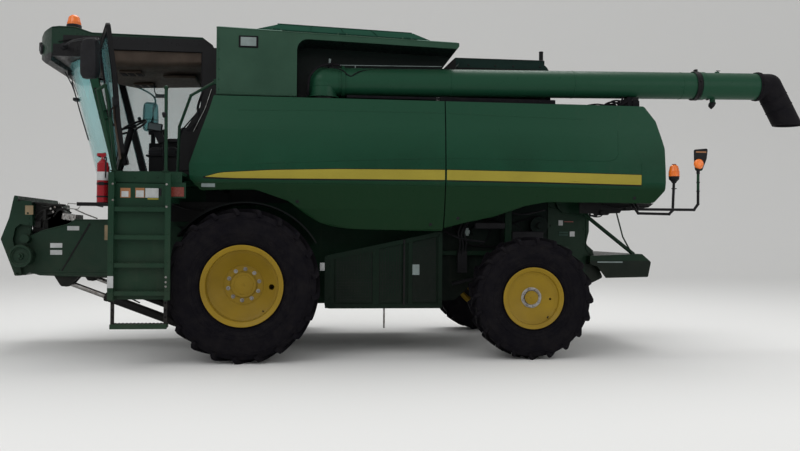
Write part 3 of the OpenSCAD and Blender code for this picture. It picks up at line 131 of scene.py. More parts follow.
def mix(m, fac, a, b):
    n = node(m, "ShaderNodeMix", data_type="RGBA")
    feed(m, fac, n.inputs["Factor"])
    for name, v in (("A", a), ("B", b)):
        socket = [i for i in n.inputs if i.name == name and i.type == "RGBA"][0]
        feed(m, (*v, 1) if isinstance(v, tuple) else v, socket)
    return [o for o in n.outputs if o.type == "RGBA"][0]


def finish_material(m, color=None, rough=None, bump=None, strength=0.2, distance=0.002):
    b = shader(m)
    if color is not None:
        feed(m, color, b.inputs["Base Color"])
    if rough is not None:
        feed(m, rough, b.inputs["Roughness"])
    if bump is not None:
        n = node(m, "ShaderNodeBump", Strength=strength, Distance=distance)
        feed(m, bump, n.inputs["Height"])
        feed(m, n.outputs["Normal"], b.inputs["Normal"])
    return m


def coordinate(m, kind):
    """X, Y and Z in the machine's own frame, which stay with a piece when it moves."""
    s = node(m, "ShaderNodeSeparateXYZ")
    feed(m, node(m, "ShaderNodeTexCoord").outputs[kind], s.inputs[0])
    return s.outputs


def zone(m, soft=4.0, **edges):
    """1 inside a region given in millimetres from the front axle, 0 outside it."""
    out = None
    at = coordinate(m, "Object")
    for axis, shift in (("x", AXLE_X), ("y", 0.0), ("z", 0.0)):
        for edge, sign in zip(edges.get(axis, ()), (1, -1)):
            if edge is None:
                continue
            e, s = edge / 1000 + shift, soft / 1000
            part = ramp(m, at[axis.upper()], e - s * sign, e + s * sign)
            out = part if out is None else math2(m, "MULTIPLY", out, part)
    return out


DUST = (0.105, 0.092, 0.070)
MUD = (0.055, 0.048, 0.042)
RUST = (0.11, 0.085, 0.07)
BLACK = (0.0065, 0.0065, 0.0075)
# GREEN and GREEN_DARK are the paint made darker for the machine's shaded side: partly paint colour, partly
# painted shade
GREEN = (0.0035, 0.046, 0.0215)
GREEN_DARK = (0.0022, 0.035, 0.0155)


def painted(name, base, dark, rough=0.34, coat=0.03, dusty=0.2, over=(), spec=0.13, chips=0.0):
    """Machine paint: uneven colour, a thin dust film, streaks, worn specks and fine orange peel.

    over is a list of (regions, colour): the parts of the piece that carry another colour, or a painted shade or
    painted highlight there."""
    m = new_material("paint_" + name, base, rough, 0.0, coat, spec=spec)
    tone = mix(m, ramp(m, noise(m, 1.7, 4.0), 0.35, 0.68), base, dark)
    for regions, color in over:
        for region in regions:
            tone = mix(m, zone(m, **region), tone, color)
    flat = ramp(m, coordinate(m, "Normal")["Z"], 0.3, 0.95, 0.0, 0.5 * dusty)
    low = ramp(m, coordinate(m, "Object")["Z"], 1.9, 0.2, 0.0, 0.42 * dusty)
    cloud = ramp(m, noise(m, 5.0, 6.0, 0.65), 0.34, 0.72, 0.25, 1.4)
    tone = mix(m, math2(m, "MULTIPLY", math2(m, "ADD", flat, low), cloud), tone, DUST)
    streak = ramp(m, noise(m, 14.0, 2.0, 0.5, (1.0, 1.0, 0.08)), 0.62, 0.8, 0.0, 0.16 * dusty)
    tone = mix(m, streak, tone, DUST)
    speck = ramp(m, noise(m, 38.0, 2.0, 0.6), 0.735 - chips, 0.76 - chips, 0.0, 0.5)
    tone = mix(m, speck, tone, dark)
    r = ramp(m, noise(m, 24.0, 3.0), 0.3, 0.75, rough - 0.07, rough + 0.2)
    return finish_material(m, tone, r, noise(m, 420.0, 2.0), 0.06, 0.0006)


def plastic(name, base, rough=0.5, grain=700.0, spec=0.14):
    m = new_material(name, base, rough, spec=spec)
    lift = tuple(min(1, c * 1.5 + 0.004) for c in base)
    tone = mix(m, ramp(m, noise(m, 5.0, 5.0), 0.35, 0.75), base, lift)
    r = ramp(m, noise(m, 30.0, 3.0), 0.3, 0.75, rough - 0.1, rough + 0.15)
    return finish_material(m, tone, r, noise(m, grain, 2.0), 0.2, 0.0006)


def label(name, base, rough=0.45, grain=300.0, spec=0.14):
    return plastic("label_" + name, base, rough, grain, spec)


def rubber(name, base, dust_share, spec=0.1):
    m = new_material(name, base, 0.8, spec=spec)
    tone = mix(m, ramp(m, noise(m, 9.0, 6.0, 0.7), 0.4, 0.74, 0.0, dust_share), base, MUD)
    r = ramp(m, noise(m, 40.0, 4.0), 0.3, 0.7, 0.62, 0.9)
    return finish_material(m, tone, r, noise(m, 160.0, 5.0, 0.7), 0.35, 0.0012)


def bare_steel(name, base, rough=0.35):
    m = new_material(name, base, rough, 1.0)
    tone = mix(m, ramp(m, noise(m, 11.0, 6.0, 0.7), 0.42, 0.7), base, RUST)
    r = ramp(m, noise(m, 60.0, 3.0, 0.5, (1, 1, 12)), 0.3, 0.75, rough - 0.08, rough + 0.25)
    return finish_material(m, tone, r, noise(m, 240.0, 3.0), 0.12, 0.0006)


M = {
    # lighter above z 2600: painted sky reflection; darker below the stripe, under z 2135: painted shade where
    # the panels turn under
    "green": painted("green", GREEN, GREEN_DARK,
                     over=[([dict(z=(2600, None), soft=250.0)], (0.0095, 0.053, 0.0275)),
                           ([dict(z=(None, 2135), soft=45.0)], (0.0012, 0.0235, 0.0055))]),
    # the yellow is darker than the real paint for the shaded side: partly paint colour, partly painted shade
    "wheel_yellow": painted("yellow", (0.295, 0.190, 0.0135), (0.235, 0.150, 0.0115), 0.4),
    "tyre_rubber": rubber("rubber_tyre", (0.0045, 0.0040, 0.0060), 0.12, 0.06),
    "steel": bare_steel("steel_worn", (0.34, 0.335, 0.325)),
    "black_paint": painted("black", BLACK, (0.009, 0.009, 0.009), 0.42, 0.0, 0.12, spec=0.12),
    "black_plastic": plastic("plastic_black", (0.0065, 0.0065, 0.0080)),
    "soft_rubber": rubber("rubber_soft", (0.0055, 0.0050, 0.0070), 0.1),
    "amber_lens": plastic("lens_amber", (0.72, 0.15, 0.012), 0.16, 90.0, 0.6),
    "extinguisher_red": painted("red", (0.26, 0.008, 0.014), (0.2, 0.006, 0.01), 0.26, 0.2, 0.08),
    "lamp_lens": new_material("lens_clear", (0.55, 0.58, 0.60), 0.12, 0.0, 0.4),
    "clear_glass": new_material("glass_tinted", (0.27, 0.64, 0.65), 0.04, 0.0, 0.3),
    "seat_fabric": new_material("cloth_seat", (0.018, 0.018, 0.02), 0.9, sheen=0.25, spec=0.2),
}
lens = M["lamp_lens"]
finish_material(lens, bump=noise(lens, 90.0, 1.0), strength=0.25)
glass = M["clear_glass"]
# the windshield's bent corners are made more opaque: painted reflection of the glass seen edge-on
corners = [zone(glass, 140.0, x=(None, -1930), y=y) for y in ((None, -560), (560, None))]
feed(glass, ramp(glass, math2(glass, "ADD", *corners), 0.0, 1.0, 0.27, 0.48), shader(glass).inputs["Alpha"])
finish_material(glass, rough=ramp(glass, noise(glass, 3.0, 5.0), 0.3, 0.8, 0.03, 0.14))
cloth = M["seat_fabric"]
finish_material(cloth, mix(cloth, noise(cloth, 900.0, 2.0), (0.012, 0.012, 0.014), (0.032, 0.033, 0.037)),
                bump=noise(cloth, 1400.0, 2.0), strength=0.5, distance=0.0008)
MIRROR = new_material("mirror_glass", (0.62, 0.64, 0.66), 0.03, 1.0)
finish_material(MIRROR, rough=ramp(MIRROR, noise(MIRROR, 4.0, 4.0), 0.3, 0.8, 0.02, 0.1))
SCREEN = new_material("display_glass", (0.05, 0.06, 0.065), 0.08, spec=0.6)
finish_material(SCREEN, mix(SCREEN, noise(SCREEN, 6.0, 2.0), (0.04, 0.05, 0.055), (0.09, 0.10, 0.105)))
WHITE = label("pale", (0.34, 0.35, 0.35), 0.4)
WARM = label("warm", (0.24, 0.11, 0.05))
SAND = label("sand", (0.20, 0.15, 0.09), 0.5)
GREY = label("grey", (0.16, 0.195, 0.19))
GREY_GREEN = label("faint", (0.020, 0.045, 0.034), 0.5)
LENS_DARK = plastic("reflector_dark", (0.13, 0.022, 0.014), 0.25, 60.0, 0.4)
FILL = plastic("plastic_dark", (0.012, 0.012, 0.0115), 0.6)
TRIM = plastic("trim_brown", (0.050, 0.036, 0.028), 0.7, 500.0)
# the stripe's yellow is darker than the real decal for the shaded side: partly decal colour, partly painted
# shade
STRIPE = painted("stripe", (0.325, 0.268, 0.036), (0.285, 0.235, 0.031), 0.36, dusty=0.15, spec=0.12)
# the machine's green darkened for the parts under the machine: painted shade
SHADED_GREEN = painted("green_shade", (0.0025, 0.020, 0.009), (0.0018, 0.013, 0.006), 0.42, 0.0, spec=0.1)
# darker than the tank and free of dust on its upward faces: painted shade
SHADED_COVER = painted("cover", (0.015, 0.047, 0.032), (0.011, 0.038, 0.025), 0.6, 0.0, 0.0, spec=0.0)
# pale green for the ends of the tank's rim: painted highlight of the sky on the flat rim
RIM = painted("rim_highlight", (0.20, 0.30, 0.25), (0.14, 0.23, 0.19), 0.4, 0.0, 0.0)
SHIELD = painted("shield", (0.0022, 0.0115, 0.0060), (0.0016, 0.0080, 0.0042), 0.4, dusty=0.12, spec=0.08)
# frame green darkened, near black under the side panels and in the wheel arches, darker low at the rear:
# painted shade
ARCH = dict(x=(-1030, 1060), z=(1080, 2100))
SHADED_UNDERSIDE = painted("frame", (0.003, 0.025, 0.0115), (0.002, 0.015, 0.007), 0.5, 0.0, 0.3, spec=0.08,
                over=[([dict(z=(1905, 2080), x=(-560, 3950)), dict(ARCH, y=(-1380, -745)),
                        dict(ARCH, y=(745, 1380))],
                       (0.0045, 0.0060, 0.0062)),
                      ([dict(x=(2440, None), z=(None, 1990))], (0.0022, 0.0075, 0.0058))])
ROOF = painted("roof", (0.0075, 0.030, 0.017), (0.005, 0.021, 0.012), 0.3, 0.02, 0.15, spec=0.12,
               over=[([dict(x=(-2300, None), z=(None, 3962)), dict(x=(-2700, None), z=(None, 3742)),
                       dict(x=(-2420, None), z=(3700, 3850))], BLACK)])
CAB = painted("cab", GREEN, GREEN_DARK,
              over=[([dict(x=(-945, None), z=(2230, None)),
                      dict(x=(None, -1500), y=(-800, None), z=(2230, None)),
                      dict(x=(-2120, None), z=(3790, None)),
                      dict(x=(-2150, None), y=(None, -840), z=(1820, 1890)),
                      dict(x=(-1650, -600), y=(-520, 520), z=(2205, None))], BLACK)])
# the recess behind the auger's elbow is near black: painted shade
TANK = painted("tank", (0.026, 0.068, 0.043), (0.018, 0.052, 0.032), dusty=0.25,
               over=[([dict(x=(560, 2650), y=(-1395, -900), z=(3178, 3930))], (0.0015, 0.0065, 0.0050))])
LADDER = painted("ladder", (0.0075, 0.034, 0.0175), (0.005, 0.024, 0.012), 0.42, dusty=0.4, chips=0.03,
                 over=[([dict(z=(488, 740))], BLACK)])
CHOPPER = painted("chopper", (0.0035, 0.0225, 0.0105), (0.0025, 0.016, 0.0075), dusty=0.25,
                  over=[([dict(x=(4480, None), z=(None, 1180))], (0.0022, 0.0075, 0.0045))])
HOOD = painted("hood", (0.006, 0.036, 0.017), (0.004, 0.025, 0.012),
               over=[([dict(z=(None, 2090)), dict(x=(None, 5560), z=(None, 2360), y=(-1800, -1320)),
                       dict(z=(2160, 2275), y=(-1600, -1400)), dict(x=(5140, None), z=(2360, 2700))], BLACK)])
DECK = painted("deck", BLACK, (0.009, 0.010, 0.010), 0.42, 0.0, 0.15, spec=0.1,
               over=[([dict(z=(3700, 3900), x=(None, 3950))], (0.005, 0.019, 0.0155))])
# near black below z 948: painted shade over the lift lug under the feeder
FEEDER = painted("feeder", (0.0095, 0.0315, 0.0185), (0.0065, 0.023, 0.013), 0.44, dusty=0.4, chips=0.03,
                 over=[([dict(z=(None, 948), soft=12.0)], (0.0025, 0.0045, 0.0040))])
OWN = {"main_frame": SHADED_UNDERSIDE, "cab_roof": ROOF, "cab_shell": CAB, "grain_tank": TANK, "ladder": LADDER,
       "platform": LADDER, "residue_chopper": CHOPPER, "rear_hood": HOOD, "engine_deck": DECK,
       "feeder_house": FEEDER, "lower_shields": SHIELD, "tank_cover_left": SHADED_COVER, "tank_cover_right": SHADED_COVER}
OWN.update(dict.fromkeys(("front_axle", "rear_axle", "knuckle_left", "knuckle_right"), SHADED_GREEN))

slot_of = {s["node"]: s["material_slot"] for s in frame["record"]["subparts"]}
for name, o in NODES.items():
    m = OWN.get(name, M[slot_of[name]])
    for s in o.material_slots:
        s.material = m
    if not o.material_slots:
        o.data.materials.append(m)

# stage and light
FLOOR_FRONT, FLOOR_BACK, CURVE_R, WALL_Z, HALF_WIDTH = -30, 16, 9, 40, 45
rows = [(FLOOR_FRONT, 0), (FLOOR_BACK, 0)]
for step in range(1, 11):
    a = math.radians(9 * step)
    rows.append((FLOOR_BACK + CURVE_R * math.sin(a), CURVE_R - CURVE_R * math.cos(a)))
rows.append((FLOOR_BACK + CURVE_R, WALL_Z))
n = len(rows)
me = bpy.data.meshes.new("floor")
me.from_pydata([(x, y, z) for x in (-HALF_WIDTH, HALF_WIDTH) for y, z in rows], [],
               [(i, i + 1, n + i + 1, n + i) for i in range(n - 1)])
me.polygons.foreach_set("use_smooth", [True] * len(me.polygons))
me.materials.append(new_material("floor", (0.78, 0.78, 0.77), 0.9, spec=0.1))
o = bpy.data.objects.new("floor", me)
scene.collection.objects.link(o)
world = bpy.data.worlds.new("world")
scene.world = world
world.use_nodes = True
backdrop = world.node_tree.nodes["Background"]
backdrop.inputs["Color"].default_value = (1.0, 1.0, 1.0, 1)
backdrop.inputs["Strength"].default_value = 0.66
for name, place, target, size, power in (("key", (-8, -11, 10.5), (0, 0, 1.5), (10, 7), 380),
                                         ("fill", (9, -9, 5), (0, 0, 1.5), (8, 6), 150),
                                         ("top", (0, 2.5, 12), (0, 0, 2), (12, 8), 850)):
    d = bpy.data.lights.new(name, "AREA")
    d.shape = "RECTANGLE"
    d.size, d.size_y = size
    d.energy = power
    o = bpy.data.objects.new(name, d)
    scene.collection.objects.link(o)
    o.location = place
    o.rotation_euler = (Vector(target) - Vector(place)).to_track_quat("-Z", "Y").to_euler()


# shapes
def circle(n, r, phase=0.0):
    """Places on a circle, as two coordinates; phase is in radians."""
    return [(r * math.cos(a), r * math.sin(a)) for a in [FULL * k / n + phase for k in range(n)]]


def span(a, b, n):
    return [a + (b - a) * i / n for i in range(n + 1)]


def rot(axis, degrees):
    return Matrix.Rotation(math.radians(degrees), 3, axis)


def curve(rows):
    """A line z(x) through a few points."""
    def at(x):
        for (x0, z0), (x1, z1) in zip(rows, rows[1:]):
            if x <= x1:
                return z0 + (z1 - z0) * (x - x0) / (x1 - x0)
        return rows[-1][1]
    return at


# the side panels' section, (half width, height) from the top down
PANEL = [(1430, 3163), (1492, 2755), (1518, 2415), (1524, 2335), (1524, 2187), (1512, 2135), (1440, 1815),
         (1350, 1575)]


def skin(z):
    """Half width of the side panels at a height."""
    for (y1, z1), (y0, z0) in zip(PANEL, PANEL[1:]):
        if z0 <= z <= z1:
            return y0 + (y1 - y0) * (z - z0) / (z1 - z0)
    return PANEL[0][0] if z > PANEL[0][1] else PANEL[-1][0]


def smooth_path(pts, radii, steps):
    """Extra points between the given ones, on a rounded curve."""
    out, rr = [], []
    for i in range(len(pts) - 1):
        p0, p1, p2, p3 = pts[max(i - 1, 0)], pts[i], pts[i + 1], pts[min(i + 2, len(pts) - 1)]
        for k in range(steps):
            t = k / steps
            out.append(0.5 * ((2 * p1) + (p2 - p0) * t + (2 * p0 - 5 * p1 + 4 * p2 - p3) * t * t
                              + (3 * p1 - p0 - 3 * p2 + p3) * t ** 3))
            rr.append(radii[i] + (radii[i + 1] - radii[i]) * t)
    return out + [pts[-1]], rr + [radii[-1]]


class Build:
    """Collects simple solids, in millimetres from the front axle, into one piece.

    side (-1 left, 1 right) turns every y, and the outward direction with it, to that side of the machine."""

    def __init__(self, side=1):
        self.v, self.f, self.side = [], [], side

    def at(self, p):
        return p[0], p[1] * self.side, p[2]

    def add(self, verts, faces):
        n = len(self.v)
        self.v += [Vector(p) for p in verts]
        self.f += [tuple(n + i for i in face) for face in faces]
        return self

    def box(self, lo, hi, edge=2.0, turn=None, about=None):
        """A box with chamfered edges."""
        pairs = list(zip(self.at(lo), self.at(hi)))
        lo, hi = [min(p) for p in pairs], [max(p) for p in pairs]
        e = min([edge] + [(b - a) * 0.3 for a, b in zip(lo, hi)])
        bm = block(lo, hi, e, 1)
        bm.verts.index_update()
        verts = [v.co.copy() for v in bm.verts]
        faces = [[v.index for v in f.verts] for f in bm.faces]
        bm.free()
        if turn is not None:
            c = Vector(self.at(about) if about else [(a + b) / 2 for a, b in zip(lo, hi)])
            verts = [turn @ (v - c) + c for v in verts]
        return self.add(verts, faces)

    def sweep(self, points, r, n=8, caps=True, steps=1):
        """A round tube along a path. r is one radius, or one for each point."""
        pts = [Vector(self.at(p)) for p in points]
        radii = r if isinstance(r, list) else [r] * len(pts)
        if steps > 1:
            pts, radii = smooth_path(pts, radii, steps)
        side = (pts[1] - pts[0]).normalized().orthogonal().normalized()
        rings = []
        for i, p in enumerate(pts):
            along_ = (pts[min(i + 1, len(pts) - 1)] - pts[max(i - 1, 0)]).normalized()
            side = (side - along_ * side.dot(along_)).normalized()
            other = along_.cross(side)
            rings.append([p + (side * c + other * s) * radii[i] for c, s in circle(n, 1)])
        return self.loft(rings, caps)

    def tubes(self, r, n, steps, *paths):
        for path in paths:
            self.sweep(path, r, n, steps=steps)
        return self

    def line(self, y, path, r, n=6, caps=True):
        """A tube that stays at one distance from the middle: its path is drawn from the side."""
        return self.sweep([(x, y, z) for x, z in path], r, n, caps)

    def loft(self, rings, caps=True):
        """Skin over rings that have the same number of points."""
        n = len(rings[0])
        self.add([p for ring in rings for p in ring],
                 [(i * n + k, i * n + (k + 1) % n, (i + 1) * n + (k + 1) % n, (i + 1) * n + k)
                  for i in range(len(rings) - 1) for k in range(n)])
        if caps:
            self.add(rings[0] + rings[-1], [tuple(range(n - 1, -1, -1)), tuple(range(n, 2 * n))])
        return self

    def lathe(self, rows, centre, axis=(0, 1, 0), n=32):
        """rows are [distance along the axis, radius]."""
        c, a = Vector(self.at(centre)), Vector(self.at(axis)).normalized()
        side = a.orthogonal().normalized()
        other = a.cross(side)
        turns = [math.radians(360.0 * k / n) for k in range(n)]
        verts = [c + a * h + (side * math.cos(t) + other * math.sin(t)) * r for h, r in rows for t in turns]
        faces = [(i * n + k, i * n + (k + 1) % n, (i + 1) * n + (k + 1) % n, (i + 1) * n + k)
                 for i in range(len(rows) - 1) for k in range(n) if rows[i][1] or rows[i + 1][1]]
        return self.add(verts, faces)

    def bolt(self, at, normal=(0, 1, 0), r=9, h=7):
        """A hexagon head on a washer."""
        self.lathe([[0, 0], [0, r * 1.5], [h * 0.22, r * 1.5], [h * 0.28, r * 1.4], [h * 0.28, 0]], at,
                   normal, 16)
        return self.lathe([[0, r * 1.05], [h * 0.85, r * 1.05], [h, r * 0.85], [h, 0]], at, normal, 6)

    def bolts(self, y, places, r=9, h=7):
        """Bolts on a face that looks outward."""
        for x, z in places:
            self.bolt((x, y, z), r=r, h=h)
        return self

    def prism(self, outline, y0, y1):
        """An outline drawn from the side, between two distances from the middle."""
        n = len(outline)
        verts = [self.at((x, y, z)) for y in (y0, y1) for x, z in outline]
        faces = [tuple(range(n - 1, -1, -1)), tuple(range(n, 2 * n))]
        return self.add(verts, faces + [(i, (i + 1) % n, n + (i + 1) % n, n + i) for i in range(n)])

    def plate(self, x0, x1, z0, z1, y, t=3.0):
        return self.box((x0, y, z0), (x1, y + t, z1), 1.0)

    def band(self, xs, low, high, lift=2.0, depth=4.0, steps=4):
        """A closed strip lying on a side panel: low and high are lines z(x)."""
        m = steps + 1
        front = [(x, self.side * (skin(z) + lift), z) for x in xs for z in span(low(x), high(x), steps)]
        back = [(x, y - self.side * depth, z) for x, y, z in front]
        n = len(front)
        faces = []
        for i in range(len(xs) - 1):
            for k in range(steps):
                q = (i * m + k, (i + 1) * m + k, (i + 1) * m + k + 1, i * m + k + 1)
                faces += [q, tuple(n + j for j in reversed(q))]
            for k in (0, steps):
                faces.append((i * m + k, (i + 1) * m + k, n + (i + 1) * m + k, n + i * m + k))
        for i in (0, len(xs) - 1):
            for k in range(steps):
                faces.append((i * m + k, i * m + k + 1, n + i * m + k + 1, n + i * m + k))
        return self.add(front + back, faces)

    def bead(self, rows, r, n=8):
        """A rounded raised line that follows a side panel."""
        pts = []
        for (x0, z0), (x1, z1) in zip(rows, rows[1:]):
            k = max(2, int(abs(x1 - x0) / 60) + int(abs(z1 - z0) / 40))
            pts += [(x0 + (x1 - x0) * i / k, z0 + (z1 - z0) * i / k) for i in range(k)]
        return self.sweep([(x, skin(z) - r * 0.35, z) for x, z in pts + [rows[-1]]], r, n)

    def done(self, name, slot, body="chassis", mat=None):
        me = bpy.data.meshes.new(name)
        me.from_pydata([P(*p) for p in self.v], [], self.f)
        bm = bmesh.new()
        bm.from_mesh(me)
        bmesh.ops.remove_doubles(bm, verts=bm.verts, dist=0.00001)
        bmesh.ops.dissolve_degenerate(bm, edges=bm.edges, dist=0.000005)
        bmesh.ops.recalc_face_normals(bm, faces=bm.faces)
        bm.to_mesh(me)
        bm.free()
        me.polygons.foreach_set("use_smooth", [True] * len(me.polygons))
        me.set_sharp_from_angle(angle=math.radians(34))
        o = bpy.data.objects.new(name, me)
        scene.collection.objects.link(o)
        me.materials.append(mat or M[slot])
        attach(o, body)
        return o


def block(lo, hi, edge, segments):
    """A box as a bmesh, with its edges cut or rounded."""
    bm = bmesh.new()
    bmesh.ops.create_cube(bm, size=1.0)
    for v in bm.verts:
        v.co = Vector([lo[i] if v.co[i] < 0 else hi[i] for i in range(3)])
    if edge > 0:
        bmesh.ops.bevel(bm, geom=list(bm.edges), offset=edge, segments=segments, affect="EDGES", profile=0.5)
    return bm


def rectangle(x0, x1, z0, z1, z2=None):
    """A closed path seen from the side; z2 is the height of its second upper corner."""
    return [(x0, z0), (x0, z1), (x1, z1 if z2 is None else z2), (x1, z0), (x0, z0)]


def ring(r0, r1, h):
    """Lathe rows of a flat ring."""
    return [[0, r0], [0, r1], [h, r1], [h, r0]]


def stud(r, h, r2, h2):
    """Lathe rows of a round head whose rim is cut to r2 at its top h2."""
    return [[0, 0], [0, r], [h, r], [h2, r2], [h2, 0]]

# details
# side panels: stripe, its dark border, folds, lower edge, latches; x0, x1 and what the border adds
stripe_top = curve([(-470, 2178), (-292, 2229), (294, 2268), (1069, 2292), (2412, 2304), (3608, 2298),
                    (4924, 2281)])
stripe_low = curve([(-470, 2176), (-116, 2166), (1070, 2174), (2413, 2181), (3608, 2173), (4925, 2155)])
PANELS = {
    "front": (-462, 2412, 26, 0,
              [(5, [(-95, 2988), (1005, 3008), (2408, 3012)]), (6, [(152, 2343), (1008, 2390), (2408, 2448)]),
               (7, [(-560, 2105), (59, 2120), (1010, 2122), (2408, 2112)])],
              [(2410, 1567), (1450, 1578), (1150, 1598), (900, 1655), (700, 1775), (520, 1905), (320, 1998),
               (80, 2044), (-500, 2026)], [(620, 1872), (2260, 1610)]),
    "rear": (2438, 4922, 0, 8,
             [(5, [(2442, 3012), (3274, 2994), (4176, 2978)]),
              (6, [(2442, 2449), (3420, 2452), (4500, 2446), (4590, 2478), (4625, 2540), (4628, 2830)]),
              (7, [(2442, 2112), (3422, 2112), (4930, 2100)])],
             [(2440, 1605), (2712, 1676), (3064, 1754), (3420, 1879), (3600, 1918), (3780, 1938),
              (5080, 1936)],
             [(2600, 1690), (4850, 1965)])}
for word, s in SIDES.items():
    for part, (x0, x1, ahead_of, behind, folds, lower, latches) in PANELS.items():
        tail = "_%s_%s" % (word, part)
        body = "panel" + tail
        b = Build(s).band(span(x0, x1, 40), stripe_low, stripe_top, 2.4)
        b.done("stripe" + tail, "wheel_yellow", body, STRIPE)
        b = Build(s).band(span(x0 - ahead_of, x1 + behind, 40), lambda x: stripe_low(x) - 17,
                          lambda x: stripe_top(x) + 7, 0.9, 3.0)
        b.done("stripe_border" + tail, "black_paint", body)
        b = Build(s)
        for r, rows in folds:
            b.bead(rows, r)
        if part == "rear":
            b.band(span(4926, 4962, 2), curve([(0, 2142)]), curve([(0, 2425)]), 3.0)
        b.done("panel_folds" + tail, "green", body)
        b = Build(s)
        if part == "front":
            b.sweep([(2416, skin(z) - 14, z) for z in (3150, 2755, 2415, 2187, 1815, 1600)], 4.5, 6)
        b.sweep([(x, skin(z) - 17, z + 1) for x, z in lower], 13, steps=2)
        b.done("panel_edge" + tail, "green", body)
        b = Build(s)
        for x, z in latches:
            b.lathe([[0, 0], [0, 20], [5, 20], [7, 17], [7, 9], [4, 8], [4, 0]],
                    (x, skin(z + 26) + 0.5, z + 26), n=20)
        b.done("panel_latches" + tail, "black_plastic", body)
    b = Build(s).band(span(2404, 2446, 2), curve([(0, 1610)]), curve([(0, 3120)]), -36, steps=24)
    b.box((-350, 1352, 3128), (2585, 1372, 3174))
    b.box((-350, 1300, 3184), (590, 1404, 3176), 0)
    b.done("seam_seal_" + word, "soft_rubber")

# tank: windows, bolts, ribs, covers, rim, the dark trough below the auger
for word, s in SIDES.items():
    Build(s).box((-96, 1418, 3750), (134, 1432, 3892), 6).done("tank_window_frame_" + word, "soft_rubber")
    Build(s).box((-74, 1431, 3768), (112, 1436, 3874), 3).done("tank_window_" + word, "lamp_lens", mat=GREY)
b = Build()
for b.side in BOTH:
    b.bolts(1420, [(-330, z) for z in range(3240, 3960, 120)], 8, 6)
b.bolts(1420, [(x, z) for x in range(700, 2300, 180) for z in (3215, 3800)], 8, 6)
for y in range(-1300, 1301, 200):
    for z in (3950, 3200):
        b.bolt((-360, y, z), (-1, 0, 0), 8, 6)
b.done("tank_bolts", "green")
b = Build()
for b.side in BOTH:
    b.box((-358, 1419, 3183), (598, 1428, 3200), 3)
    b.box((-352, 1419, 3200), (-336, 1424, 3965))
b.box((602, 1419, 3183), (2330, 1428, 3200), 3)
for x in (600, 1180, 1760):
    b.box((x, 1419, 3200), (x + 18, 1426, 3880), 3)
for y in (-700, 0, 700):
    b.box((-368, y - 12, 3190), (-359, y + 12, 3955), 3)
b.done("tank_ribs", "green", mat=TANK)
b = Build()
b.box((1210, -1352, 3188), (2330, -1318, 3222), 4)
b.box((2380, -1300, 3146), (3872, -1262, 3238), 5)
b.box((2380, -1262, 3146), (3872, -1150, 3170), 5)
for x in range(1300, 3800, 260):
    b.box((x, -1360, 3190), (x + 30, -1352, 3214))
b.done("auger_trough", "soft_rubber")
SLOPE, TANK_FRONT = math.tan(math.radians(1.9)), -360


def fall(z, x):
    """Height at x of a line that starts at z and falls back with the tank's rim."""
    return z - (x - TANK_FRONT) * SLOPE


for word, s in SIDES.items():
    b = Build(s)
    b.sweep([(x, 1386, fall(4010, x)) for x in span(150, 2210, 10)], 9)
    b.sweep([(x, 12, fall(4443, x)) for x in (300, 2180)], 7)
    for x in (760, 1180, 1600):
        b.sweep([(x, 20, fall(4441, x)), (x, 1370, fall(4016, x))], 6, 6)
    b.done("cover_folds_" + word, "green", "tank_cover_" + word, SHADED_COVER)
b = Build()
for b.side in BOTH:
    b.sweep([(-355, 1416, 3986), (2590, 1416, fall(3986, 2590))], 9)
    b.sweep([(x, 1405, fall(3992, x)) for x in span(90, 2260, 6)], 6)
b.sweep([(-356, y, 3986) for y in (-1412, 1412)], 9)
b.done("tank_rim", "green", mat=TANK)
# pale strips on the rim's ends: painted highlight
b = Build()
for x0, x1 in ((-340, 420), (2070, 2570)):
    b.sweep([(x, -1421, fall(3993, x)) for x in span(x0, x1, 4)], 4)
b.done("tank_rim_worn", "green", mat=RIM)

# unloading auger: clamp band, seams, lamp, hoses and wires
RISE = math.radians(1.0)
AX = Vector((math.cos(RISE), 0, math.sin(RISE)))
AUGER_UP = Vector((-math.sin(RISE), 0, math.cos(RISE)))
OUTWARD = Vector((0, -1, 0))
A0 = Vector((920, -1180, 3408))
SKYWARD = (0, 0, 1)


def along(t, out=0.0, angle=0.0):
    """A point t along the auger tube, out from its middle; angle 0 is up, 90 towards the left side."""
    a = math.radians(angle)
    return A0 + AX * t + (AUGER_UP * math.cos(a) + OUTWARD * math.sin(a)) * out


def around(centre, dx, dy, z0, z1):
    """Opposite corners of a box that is set about a point."""
    return centre + Vector((-dx, -dy, z0)), centre + Vector((dx, dy, z1))


b = Build()
b.lathe([[0, 183.3], [0, 187], [4, 190], [22, 190], [26, 186], [44, 186], [48, 190], [66, 190], [70, 187],
         [70, 183.3]],
        along(4835), AX, 56)
b.box((5788, -1206, 3679), (5826, -1154, 3711), 4)
b.bolt(along(4870, 190, 82) + Vector((0, 0, 6)), OUTWARD, 10, 14)
b.done("auger_clamp", "black_paint", "auger")
b = Build()
for t in (190, 1600, 3200, 4660):
    b.lathe([[-6, 174], [-4, 177], [4, 177], [6, 174]], along(t), AX, 56)
b.lathe(ring(174, 196, 16), along(235), AX, 56)
b.lathe(ring(174, 196, 14), along(254), AX, 56)
for k in range(12):
    b.bolt(along(235, 187, 30 * k + 8), -AX, 7, 7)
b.lathe(ring(174, 200, 12), (920, -1180, 3204), SKYWARD, 48)
b.lathe([[0, 177], [5, 180], [10, 177]], (920, -1180, 3330), SKYWARD, 48)
b.box((6080, -1200, 3664), (6130, -1160, 3690), 4)
b.done("auger_seams", "green", "auger")
LAMP, LAMP_AXIS = Vector((6033, -1180, 3252)), (0.85, 0, -0.5)
b = Build()
b.box(*around(along(5050, 172, 180), 14, 16, -12, 12), 3)
b.box((5726, -1192, 3306), (5744, -1168, 3332), 3)
b.box((6092, -1186, 3700), (6150, -1174, 3708))
b.sweep([(6118, -1180, 3672), (6118, -1180, 3704)], 7)
